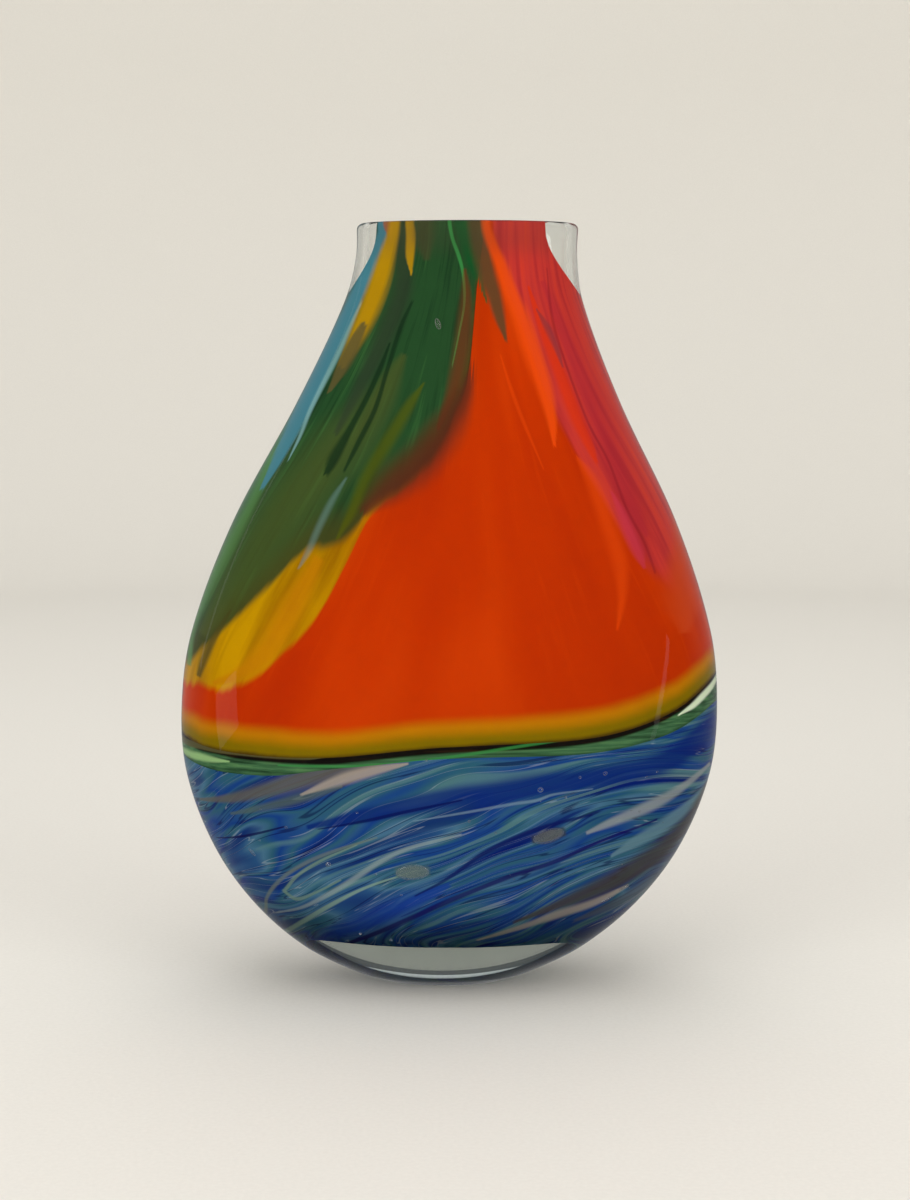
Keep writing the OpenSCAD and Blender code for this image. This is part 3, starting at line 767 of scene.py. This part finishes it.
def wound_bands(glasses):
    """Glass trailed hot round the join: a dark thread over a green wrap, with drawn-out lines and two
    painted highlights on the wrap.
    """
    material, tree, output = empty_material("trailed_colour_thread")
    fan = attribute(tree, "fan", "Vector")
    over_seam = attribute(tree, "over_seam")
    over_cup = attribute(tree, "over_cup")
    slow = noise(tree, fan, 5.0, detail=2.0)
    fine = noise(tree, fan, 9.0, detail=4.0, stretch=(1, 1, 60), shift=(2, 5, 0))
    green = node(tree, "ShaderNodeValToRGB", {0: fine}, stops=[
        (0.3, glasses.wrap_dark), (0.5, glasses.wrap),
        (0.75, glasses.wrap_light)]).outputs[0]
    thread = lay_over(tree, glasses.thread, glasses.bark, fine, 0.5, 0.7, 0.6)
    height = nudged(tree, over_seam, slow, 2.0)
    painted = lay_over(tree, green, thread, height, -2.6, -1.6)
    painted = lay_over(tree, painted, glasses.wrap_dark, over_cup, 0.9, 0.0, 0.5)
    painted = lay_streaks(tree, painted, BAND_STREAKS, slow)
    embedded_glass(tree, output, painted)
    return material


def marbled_cup(glasses):
    """Blues, white and grey folded together hot and drawn out: long slanting marbled lines."""
    material, tree, output = empty_material("marbled_blue_glass")
    drift = attribute(tree, "drift", "Vector")
    bend = noise(tree, drift, 1.0, detail=1.0, stretch=(1.4, 1, 0.3), shift=(4, 2, 1),
                 output="Color")
    bend = node(tree, "ShaderNodeVectorMath", {0: bend, 1: (0.5, 0.5, 0.5)}, operation="SUBTRACT")
    bend = node(tree, "ShaderNodeVectorMath", {0: bend.outputs[0], 1: (0.5, 0.4, 2.3)},
                operation="MULTIPLY")
    place = node(tree, "ShaderNodeVectorMath", {0: drift, 1: bend.outputs[0]}).outputs[0]
    bands = noise(tree, place, 1.0, detail=2.0, stretch=(0.9, 1, 1), distortion=0.25)
    lines = noise(tree, place, 1.0, detail=1.5, stretch=(0.8, 1, 2.6), shift=(9, 3, 5),
                  distortion=0.3)
    hairs = noise(tree, place, 1.0, detail=1.0, stretch=(0.8, 1, 5.0), shift=(2, 8, 3),
                  distortion=0.25)
    painted = node(tree, "ShaderNodeValToRGB", {0: bands}, stops=[
        (0.28, glasses.cobalt), (0.36, glasses.royal),
        (0.41, glasses.teal), (0.45, glasses.denim),
        (0.49, glasses.royal), (0.53, glasses.teal),
        (0.57, glasses.steel), (0.61, glasses.denim),
        (0.7, glasses.cobalt)]).outputs[0]
    painted = lay_over(tree, painted, glasses.cobalt, lines, 0.41, 0.34, 0.7)
    painted = lay_over(tree, painted, glasses.sage, lines, 0.6, 0.68, 0.65)
    crease = node(tree, "ShaderNodeMath", {0: lines, 1: 0.5}, operation="SUBTRACT")
    crease = node(tree, "ShaderNodeMath", {0: crease.outputs[0]}, operation="ABSOLUTE").outputs[0]
    painted = lay_over(tree, painted, glasses.ink, crease, 0.016, 0.004, 0.65)
    hair = node(tree, "ShaderNodeMath", {0: hairs, 1: 0.56}, operation="SUBTRACT")
    hair = node(tree, "ShaderNodeMath", {0: hair.outputs[0]}, operation="ABSOLUTE").outputs[0]
    painted = lay_over(tree, painted, glasses.pearl, hair, 0.012, 0.003, 0.35)
    painted = lay_streaks(tree, painted, CUP_STREAKS, lines)
    embedded_glass(tree, output, painted)
    return material


def seamless_paper():
    """Matt backdrop paper: even, pale and a little warm."""
    material, tree, output = empty_material("matt_backdrop_paper")
    coords = node(tree, "ShaderNodeTexCoord")
    grain = noise(tree, coords.outputs["Object"], 1 / (1.5 * MM), detail=2.0)
    paper = node(tree, "ShaderNodeValToRGB", {0: grain}, stops=[
        (0.2, linear("#dddad3")), (0.8, linear("#e2dfd8"))]).outputs[0]
    shader = node(tree, "ShaderNodeBsdfPrincipled", {"Base Color": paper, "Roughness": 0.85,
                                                     "Specular IOR Level": 0.1})
    tree.links.new(shader.outputs[0], output.inputs["Surface"])
    return material


# ---------------------------------------------------------------------------
# Bubbles
# ---------------------------------------------------------------------------

# Bubbles listed one by one: sideways, height, half length, half width, half thickness, tilt in
# degrees.
LARGE_BUBBLES = [
    (-13, 50, 5.8, 2.9, 0.4, 4),
    (35, 63, 5.6, 2.5, 0.4, 16),
    (32, 80, 1.0, 0.9, 0.7, 0),
    (41, 77, 0.5, 0.45, 0.4, 0),
    (46, 84, 0.5, 0.5, 0.4, 0),
    (55, 85, 0.8, 0.7, 0.5, 20),
    (7, 69, 0.5, 0.5, 0.5, 0),
    (-43, 52, 1.0, 0.8, 0.6, 15),
    (-71, 54, 1.9, 0.6, 0.5, -58),
    (-32, 25, 0.6, 0.4, 0.4, 30),
    (-21, 23, 0.6, 0.5, 0.4, 0),
    (-26, 49, 0.4, 0.4, 0.4, 0),
    (-4, 243, 2.1, 0.95, 0.7, -66),
    (57, 36.5, 2.8, 0.7, 0.5, 34),
    (63, 40.5, 2.0, 0.5, 0.4, 38),
    (-58, 65, 0.6, 0.5, 0.4, 0),
    (-8, 91, 0.5, 0.4, 0.4, 0),
]
BUBBLE_DEPTH = 1.2  # mm under the outside, the middle of the casing
SEED_ANGLES = np.arange(0.0, 360.0, 4.0)  # of the surface that the fine bubbles are strewn on
SEED_LEVELS = np.arange(24.0, 94.0, 5.0)


def front_seat(sizes, x, z):
    """Point in the casing at the front, with the way out and the way to the right."""
    half_width, _, lean = outline(sizes, np.array([float(z)]))
    share = (x - lean) / (half_width - BUBBLE_DEPTH)
    across = np.sign(share) * np.abs(share) ** (SQUARENESS / 2)
    angle = np.degrees(np.arctan2(-np.sqrt(1 - across**2), across))
    seat, right, above = [
        Vector(on_form(sizes, angle + turn, np.array([z + rise]), BUBBLE_DEPTH)[0])
        for turn, rise in ((0, 0), (1, 0), (0, 1))
    ]
    right, above = (right - seat).normalized(), (above - seat).normalized()
    return seat, right.cross(above).normalized(), right, above


def socket(tree, name, kind, way="INPUT", default=None):
    """Adds a named socket to the outside of a geometry tree."""
    made = tree.interface.new_socket(name, in_out=way, socket_type=kind)
    if default is not None:
        made.default_value = default
    return made


def geometry_tree(name, inputs):
    """Geometry tree with a geometry in and out and the given named inputs."""
    tree = bpy.data.node_groups.new(name, "GeometryNodeTree")
    socket(tree, "Geometry", "NodeSocketGeometry")
    socket(tree, "Geometry", "NodeSocketGeometry", "OUTPUT")
    for label, (kind, default) in inputs.items():
        socket(tree, label, kind, default=default)
    return tree, node(tree, "NodeGroupInput").outputs


def end_tree(tree, instances):
    """Turns the instances to smooth plain faces with the tree's material."""
    plain = node(tree, "GeometryNodeRealizeInstances", {0: instances})
    smooth = node(tree, "GeometryNodeSetShadeSmooth", {0: plain.outputs[0]})
    source = next(n for n in tree.nodes if n.bl_idname == "NodeGroupInput")
    coated = node(tree, "GeometryNodeSetMaterial", {"Geometry": smooth.outputs[0],
                                                    "Material": source.outputs["Material"]})
    node(tree, "NodeGroupOutput", {0: coated.outputs[0]})


def placed_bubble_tree():
    """One ball on each point, sized and turned as the point's attributes say."""
    tree, given = geometry_tree("placed_bubbles", {
        "Roundness": ("NodeSocketInt", 3), "Material": ("NodeSocketMaterial", None)})
    ball = node(tree, "GeometryNodeMeshIcoSphere", {"Radius": 1.0,
                                                    "Subdivisions": given["Roundness"]})
    facing, along, half_size = [
        node(tree, "GeometryNodeInputNamedAttribute", {"Name": label},
             data_type="FLOAT_VECTOR").outputs[0]
        for label in ("facing", "along", "half_size")
    ]
    turn = node(tree, "FunctionNodeAxesToRotation", {0: facing, 1: along},
                primary_axis="Z", secondary_axis="X")
    balls = node(tree, "GeometryNodeInstanceOnPoints", {
        "Points": given["Geometry"], "Instance": ball.outputs["Mesh"],
        "Rotation": turn.outputs[0], "Scale": half_size})
    end_tree(tree, balls.outputs[0])
    return tree


def seed_bubble_tree():
    """Fine bubbles strewn over a surface."""
    tree, given = geometry_tree("strewn_bubbles", {
        "Density": ("NodeSocketFloat", 1500.0), "Smallest": ("NodeSocketFloat", 0.12 * MM),
        "Largest": ("NodeSocketFloat", 0.35 * MM), "Seed": ("NodeSocketInt", 4),
        "Material": ("NodeSocketMaterial", None)})
    strewn = node(tree, "GeometryNodeDistributePointsOnFaces", {
        "Mesh": given["Geometry"], "Density": given["Density"], "Seed": given["Seed"]})
    size = node(tree, "FunctionNodeRandomValue", {2: given["Smallest"], 3: given["Largest"],
                                                  "Seed": given["Seed"]}, data_type="FLOAT")
    stretch = node(tree, "ShaderNodeCombineXYZ", {0: 1.4, 1: 1.0, 2: 0.8})
    scale = node(tree, "ShaderNodeVectorMath", {0: stretch.outputs[0], 3: size.outputs[1]},
                 operation="SCALE")
    ball = node(tree, "GeometryNodeMeshIcoSphere", {"Radius": 1.0, "Subdivisions": 2})
    balls = node(tree, "GeometryNodeInstanceOnPoints", {
        "Points": strewn.outputs["Points"], "Instance": ball.outputs["Mesh"],
        "Rotation": strewn.outputs["Rotation"], "Scale": scale.outputs[0]})
    end_tree(tree, balls.outputs[0])
    return tree


def grown(base, name, tree, inputs):
    """Plain mesh that a geometry tree makes of a base object, which is then removed."""
    modifier = base.modifiers.new("grow", "NODES")
    modifier.node_group = tree
    for item in tree.interface.items_tree:
        if item.in_out == "INPUT" and item.name in inputs:
            modifier[item.identifier] = inputs[item.name]
    evaluated = base.evaluated_get(bpy.context.evaluated_depsgraph_get())
    mesh = bpy.data.meshes.new_from_object(evaluated)
    made = bpy.data.objects.new(name, mesh)
    bpy.context.collection.objects.link(made)
    base.modifiers.remove(modifier)
    bpy.data.objects.remove(base)
    return made


def place_bubbles(sizes, material):
    """The bubbles listed one by one in the casing of the front."""
    seats = [front_seat(sizes, x, z) for x, z, *_ in LARGE_BUBBLES]
    base = make_object("bubble_seats", [seat for seat, *_ in seats], [])
    along = []
    for (_, _, right, above), bubble in zip(seats, LARGE_BUBBLES):
        tilt = np.radians(bubble[5])
        along.append(right * np.cos(tilt) + above * np.sin(tilt))
    set_attribute(base, "facing", [out for _, out, *_ in seats])
    set_attribute(base, "along", along)
    set_attribute(base, "half_size", np.array([bubble[2:5] for bubble in LARGE_BUBBLES]) * MM)
    return grown(base, "placed_air_bubbles", placed_bubble_tree(), {"Material": material})


def strew_bubbles(sizes, material, seed):
    """Fine seeds in the casing, round the whole of the cup."""
    rings = [on_form(sizes, SEED_ANGLES, z + 0 * SEED_ANGLES, BUBBLE_DEPTH) for z in SEED_LEVELS]
    rows = np.arange(len(rings) * len(SEED_ANGLES)).reshape(len(rings), -1).tolist()
    faces = [face for low, high in zip(rows, rows[1:]) for face in strip_faces(low, high, True)]
    base = make_object("seed_ground", np.concatenate(rings), faces)
    return grown(base, "fine_air_seeds", seed_bubble_tree(), {"Seed": seed, "Material": material})


# ---------------------------------------------------------------------------
# Studio
# ---------------------------------------------------------------------------

FLOOR_RADIUS = 1.5
SWEEP_RADIUS = 0.7
WALL_TOP = 1.5
FLOOR_DROP = 0.2 * MM  # under the foot, so that glass and paper don't share a plane
MIDDLE = (0, 0, 0.12)  # of the vase, which lamps and panes face
# Softboxes: place, size and power.
LAMPS = {
    "key_softbox": ((-1.4, -1.5, 0.45), 1.5, 27.0),
    "fill_softbox": ((1.6, -1.4, 0.45), 1.5, 28.0),
    "top_softbox": ((0.0, -0.3, 2.0), 1.8, 10.0),
    "back_softbox": ((0.0, 1.2, 2.1), 1.6, 7.0),
}
# Level of the room as the glass mirrors it: dim in front, so that no haze lies over the colours,
# and brighter behind, where the sides of the vase mirror it.
REFLECTED_FRONT = 0.03
REFLECTED_BACK = 0.28
# Panes of daylight that only the gloss of the glass shows: middle, width, height, turn and level.
PANES = {
    "left_window_pane": ((-1.2, -0.42, -0.02), 0.34, 0.24, 20.0, 0.4),
    "right_window_pane": ((1.15, -0.55, 0.05), 0.05, 0.55, -35.0, 0.5),
    "left_window_strip": ((-1.1, 0.25, 0.55), 0.06, 0.9, 0.0, 0.5),
}
CAMERA_PLACE = (0.002, -0.72, 0.217)
CAMERA_PITCH = 5.91  # degrees down
CAMERA_LENS = 58.5


def build_sweep():
    """Round backdrop: a level floor that curves up into a wall on every side."""
    bends = np.linspace(0, np.pi / 2, 25)
    profile = [(FLOOR_RADIUS * share, 0) for share in (0.1, 0.3, 0.6, 1.0)]
    profile += [(FLOOR_RADIUS + SWEEP_RADIUS * np.sin(b), SWEEP_RADIUS * (1 - np.cos(b)))
                for b in bends[1:]]
    profile.append((FLOOR_RADIUS + SWEEP_RADIUS, WALL_TOP))
    turn = np.linspace(0, 2 * np.pi, 96, endpoint=False)
    rings = [np.stack([r * np.cos(turn), r * np.sin(turn), z - FLOOR_DROP + 0 * turn], -1)
             for r, z in profile]
    rows = np.arange(len(rings) * len(turn)).reshape(len(rings), -1).tolist()
    faces = []
    for lower, upper in zip(rows, rows[1:]):
        faces += reversed_faces(strip_faces(lower, upper, True))
    points = np.concatenate(rings + [[(0, 0, -FLOOR_DROP)]]) / MM
    faces += reversed_faces(fan_faces(len(points) - 1, rows[0]))
    return make_object("backdrop", points, faces)


def aim(thing, target):
    """Turns a lamp to look at a place."""
    away = Vector(target) - thing.location
    thing.rotation_euler = away.to_track_quat("-Z", "Y").to_euler()


def light_the_room(strength):
    """Pale surroundings and large softboxes that neither the camera nor the glass shows."""
    world = bpy.data.worlds.new("pale_room")
    bpy.context.scene.world = world
    world.use_nodes = True
    tree = world.node_tree
    ray = node(tree, "ShaderNodeLightPath")
    way = node(tree, "ShaderNodeTexCoord").outputs["Generated"]
    back = node(tree, "ShaderNodeSeparateXYZ", {0: way}).outputs[1]
    limits = {"Value": back, "From Min": -0.1, "From Max": 0.8, "To Min": REFLECTED_FRONT,
              "To Max": REFLECTED_BACK}
    mirrored = node(tree, "ShaderNodeMapRange", limits)
    level = node(tree, "ShaderNodeMix", {0: ray.outputs["Is Glossy Ray"], 2: strength,
                                         3: mirrored.outputs[0]})
    tree.nodes["Background"].inputs["Color"].default_value = (1.0, 0.99, 0.975, 1)
    tree.links.new(level.outputs[0], tree.nodes["Background"].inputs["Strength"])
    for name, (place, size, power) in LAMPS.items():
        light = bpy.data.lights.new(name, "AREA")
        light.shape = "DISK"
        light.size = size
        light.energy = power
        lamp = bpy.data.objects.new(name, light)
        lamp.location = place
        lamp.visible_camera = False
        lamp.visible_glossy = False
        bpy.context.collection.objects.link(lamp)
        aim(lamp, MIDDLE)


def hang_panes():
    """Panes that give the glass its soft reflections and light nothing."""
    for name, (middle, width, height, turn, level) in PANES.items():
        corners = [(-width, -height, 0), (width, -height, 0), (width, height, 0), (-width, height, 0)]
        pane = make_object(name, np.array(corners) / 2 / MM, [(0, 1, 2, 3)])
        pane.location = middle
        aim(pane, MIDDLE)
        pane.rotation_euler.rotate_axis("Z", np.radians(turn))
        material, tree, output = empty_material("daylight_in_" + name)
        light = node(tree, "ShaderNodeEmission", {"Color": (1.0, 0.98, 0.95, 1), "Strength": level})
        tree.links.new(light.outputs[0], output.inputs["Surface"])
        pane.data.materials.append(material)
        for kind in ("camera", "diffuse", "transmission", "volume_scatter", "shadow"):
            setattr(pane, "visible_" + kind, False)


def set_camera():
    """Camera a little above the shoulder, looking slightly down at the front."""
    camera = bpy.data.objects.new("camera", bpy.data.cameras.new("camera"))
    camera.data.lens = CAMERA_LENS
    camera.location = CAMERA_PLACE
    camera.rotation_euler = (np.radians(90 - CAMERA_PITCH), 0, 0)
    bpy.context.collection.objects.link(camera)
    bpy.context.scene.camera = camera


# ---------------------------------------------------------------------------
# Settings
# ---------------------------------------------------------------------------


def length(name, default, description):
    """A length that a user may change."""
    return FloatProperty(name=name, default=default, min=0.0, precision=4, unit="LENGTH",
                         description=description)


def cad_extent(axis):
    """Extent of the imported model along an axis."""
    return CAD_HIGH[axis] - CAD_LOW[axis]


class VaseSizes(bpy.types.PropertyGroup):
    """Driving sizes of the vase."""

    height: length("Height", cad_extent(2), "Foot to lip")
    belly_width: length("Belly width", cad_extent(0), "Widest place, side to side")
    belly_depth: length("Belly depth", cad_extent(1), "Widest place, front to back")
    mouth_width: length("Mouth width", 80.6 * MM, "Lip, side to side")
    mouth_depth: length("Mouth depth", 38 * MM, "Lip, front to back")
    foot_width: length("Foot width", 47 * MM, "Ground foot, side to side")
    foot_depth: length("Foot depth", 29 * MM, "Ground foot, front to back")
    mouth_lean: length("Mouth lean", 6.6 * MM, "How far the mouth stands to the right")
    foot_lean: length("Foot lean", 2.6 * MM, "How far the foot stands to the left")
    casing_thickness: length("Casing", 2.2 * MM, "Clear glass outside the colour")
    colour_thickness: length("Colour", 0.8 * MM, "Layer of colour")
    lining_thickness: length("Lining", 1.2 * MM, "Clear glass inside the colour")
    base_thickness: length("Base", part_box("blue_swirl_cup")[0][2], "Clear glass under the colour")
    seam_height: length("Seam height", 101 * MM, "Middle height of the join")
    amber_width: length("Amber width", 9 * MM, "Height of the amber band")
    thread_width: length("Thread width", 2 * MM, "Height of the dark thread")
    wrap_width: length("Wrap width", 2 * MM, "Least height of the green wrap")
    window_height: length("Window height", 27 * MM, "Clear glass over the colour at the sides")
    left_window: FloatProperty(name="Left window", default=34.0, min=1.0, max=90.0,
                               description="Reach of the left clear window to each side, degrees")
    right_window: FloatProperty(name="Right window", default=46.0, min=1.0, max=90.0,
                                description="Reach of the right clear window, degrees")


COLOURS = {
    "orange": ("#ca3900", "Main colour of the upper body"),
    "orange_deep": ("#c03102", "Redder veils in the orange"),
    "orange_bright": ("#d84504", "Lighter veils in the orange"),
    "amber": ("#c88206", "Band over the seam"),
    "amber_deep": ("#8a7204", "Darker lines in the band"),
    "yellow": ("#cf9c00", "Patch under the green"),
    "yellow_deep": ("#a06d00", "Darker lines in the yellow"),
    "green": ("#2a512c", "Main green"),
    "green_dark": ("#1a3820", "Bottle green lines"),
    "green_light": ("#40733a", "Thin, light green"),
    "olive": ("#4a4a1e", "Green over yellow"),
    "bark": ("#40260f", "Green over orange"),
    "red": ("#cc3d36", "Main red"),
    "red_deep": ("#b43032", "Deeper, pinker red"),
    "red_bright": ("#d8432c", "Red that thins to orange"),
    "neck_shade": ("#4a4034", "Grey over all colours near the lip"),
    "thread": ("#16120e", "Dark thread at the seam"),
    "wrap": ("#44704a", "Green wrap under the thread"),
    "wrap_dark": ("#26402a", "Darker lines in the wrap"),
    "wrap_light": ("#6a9a60", "Thin places in the wrap"),
    "cobalt": ("#0a2072", "Darkest blue of the marbling"),
    "royal": ("#1a4490", "Strong blue"),
    "denim": ("#305c8c", "Middle blue"),
    "teal": ("#33667c", "Greenish blue"),
    "steel": ("#4f7b98", "Pale blue"),
    "sage": ("#648f8c", "Pale blue green"),
    "pearl": ("#b4c0c0", "Nearly white lines"),
    "ink": ("#0e0c48", "Nearly black lines"),
}


class VaseColours(bpy.types.PropertyGroup):
    """Colours of the glasses."""

    __annotations__ = {
        key: FloatVectorProperty(name=key.replace("_", " ").capitalize(), subtype="COLOR", size=4,
                                 min=0.0, max=1.0, default=linear(code), description=use)
        for key, (code, use) in COLOURS.items()
    }


class VaseStudio(bpy.types.PropertyGroup):
    """Light of the studio."""

    room_strength: FloatProperty(name="Room light", default=0.66, min=0.0, max=5.0,
                                 description="Strength of the light from all round")
    seed: IntProperty(name="Bubble seed", default=4, min=0, description="Where fine bubbles lie")


# ---------------------------------------------------------------------------
# Operators
# ---------------------------------------------------------------------------

# Piece: CAD node it stands for, slot, lower and upper edge, first and last degree.
UPPER_PIECES = {
    "amber_ring": ("amber_band", "amber_glass", "seam", "amber", 0, 360),
    "orange_body": ("orange_field", "orange_glass", "amber", "field", 0, 360),
    "yellow_fan": ("yellow_patch", "yellow_glass", "field", "yellow", 160, 260),
    "olive_border": ("olive_edge", "olive_glass", "field", "yellow", 260, 280),
    "brown_border": ("brown_edge", "olive_glass", "field", "yellow", 100, 160),
    "pink_border": ("pink_edge", "red_glass", "field", "yellow", 280, 460),
    "green_front": ("green_panel", "green_glass", "yellow", "colour", 210, 280),
    "blue_ribbon": ("blue_streak", "sky_blue_glass", "yellow", "colour", 200, 210),
    "green_side": ("moss_panel", "green_glass", "yellow", "colour", 100, 200),
    "red_side": ("red_panel", "red_glass", "yellow", "colour", 280, 460),
}
BAND_PIECES = {
    "green_trail": ("green_wrap", "green_glass", "cup", "wrap", 0, 360),
    "dark_thread": ("black_thread", "black_glass", "wrap", "seam", 0, 360),
}


def finish_piece(piece, nodes, material):
    """Gives a piece its material and its body, and hides the CAD nodes it stands for."""
    piece.data.materials.clear()
    piece.data.materials.append(material)
    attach(piece, "root")
    if nodes:
        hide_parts(*nodes)


def build_layer_pieces(context, table, material, streaks):
    """Builds the pieces of the colour layer that a table lists."""
    sizes = context.scene.vase_sizes
    skins = colour_skins(sizes)
    for name, (cad_node, slot, low, high, first, last) in table.items():
        stop = last if last - first == COLUMNS else last + 1
        columns = np.arange(first, stop) % COLUMNS
        piece = closed_layer(name, skins, row_of(low), row_of(high), columns)
        set_colour_attributes(sizes, piece, streaks)
        finish_piece(piece, [cad_node], material)


class VASE_OT_clear_glass(bpy.types.Operator):
    """Builds the clear casing and lining as one body of glass"""

    bl_idname = "vase.clear_glass"
    bl_label = "Clear glass body"

    def execute(self, context):
        body = clear_body(context.scene.vase_sizes, "clear_glass_body")
        finish_piece(body, ["clear_casing", "clear_lining"], clear_glass())
        return {"FINISHED"}


class VASE_OT_upper_colours(bpy.types.Operator):
    """Builds the orange, yellow, green, blue and red glass of the upper body"""

    bl_idname = "vase.upper_colours"
    bl_label = "Upper colours"

    def execute(self, context):
        material = upper_colours(context.scene.vase_colours)
        build_layer_pieces(context, UPPER_PIECES, material, UPPER_STREAKS)
        return {"FINISHED"}


class VASE_OT_wound_bands(bpy.types.Operator):
    """Builds the dark thread and the green wrap at the join"""

    bl_idname = "vase.wound_bands"
    bl_label = "Thread and wrap"

    def execute(self, context):
        material = wound_bands(context.scene.vase_colours)
        build_layer_pieces(context, BAND_PIECES, material, BAND_STREAKS)
        return {"FINISHED"}


class VASE_OT_marbled_cup(bpy.types.Operator):
    """Builds the cup of marbled blue glass"""

    bl_idname = "vase.marbled_cup"
    bl_label = "Marbled cup"

    def execute(self, context):
        sizes = context.scene.vase_sizes
        skins = colour_skins(sizes)
        cup = closed_layer("marbled_cup", skins, None, row_of("cup"), np.arange(COLUMNS))
        set_colour_attributes(sizes, cup, CUP_STREAKS)
        material = marbled_cup(context.scene.vase_colours)
        finish_piece(cup, ["blue_swirl_cup"], material)
        return {"FINISHED"}


class VASE_OT_bubbles(bpy.types.Operator):
    """Builds the air bubbles trapped in the clear glass"""

    bl_idname = "vase.bubbles"
    bl_label = "Air bubbles"

    def execute(self, context):
        sizes = context.scene.vase_sizes
        material = air_bubble()
        seed = context.scene.vase_studio.seed
        for bubbles in (place_bubbles(sizes, material), strew_bubbles(sizes, material, seed)):
            finish_piece(bubbles, [], material)
        return {"FINISHED"}


class VASE_OT_stage(bpy.types.Operator):
    """Builds the backdrop, the lights and the camera"""

    bl_idname = "vase.stage"
    bl_label = "Studio"

    def execute(self, context):
        sweep = build_sweep()
        sweep.data.materials.append(seamless_paper())
        sweep.visible_glossy = False
        light_the_room(context.scene.vase_studio.room_strength)
        hang_panes()
        set_camera()
        context.scene.view_settings.view_transform = "Standard"
        return {"FINISHED"}


class VASE_PT_panel(bpy.types.Panel):
    """Lists the steps that build the vase"""

    bl_idname = "VASE_PT_panel"
    bl_label = "Cased glass vase"
    bl_space_type = "VIEW_3D"
    bl_region_type = "UI"
    bl_category = "Vase"

    def draw(self, context):
        for operator in OPERATORS:
            self.layout.operator(operator.bl_idname)
        for settings in ("vase_sizes", "vase_colours", "vase_studio"):
            column = self.layout.column()
            for name in getattr(context.scene, settings).__annotations__:
                column.prop(getattr(context.scene, settings), name)


SETTINGS = {"vase_sizes": VaseSizes, "vase_colours": VaseColours, "vase_studio": VaseStudio}
OPERATORS = (VASE_OT_clear_glass, VASE_OT_upper_colours, VASE_OT_wound_bands,
             VASE_OT_marbled_cup, VASE_OT_bubbles, VASE_OT_stage)


def register():
    """Registers the settings, the operators and the panel."""
    for made in (*SETTINGS.values(), *OPERATORS, VASE_PT_panel):
        bpy.utils.register_class(made)
    for name, group in SETTINGS.items():
        setattr(bpy.types.Scene, name, PointerProperty(type=group))


def unregister():
    """Takes away what register added."""
    for name in SETTINGS:
        delattr(bpy.types.Scene, name)
    for made in (VASE_PT_panel, *reversed(OPERATORS), *SETTINGS.values()):
        bpy.utils.unregister_class(made)


def main():
    """Builds the vase and its studio."""
    register()
    bpy.ops.vase.stage()
    bpy.ops.vase.clear_glass()
    bpy.ops.vase.upper_colours()
    bpy.ops.vase.wound_bands()
    bpy.ops.vase.marbled_cup()
    bpy.ops.vase.bubbles()


if __name__ == "__main__":
    main()
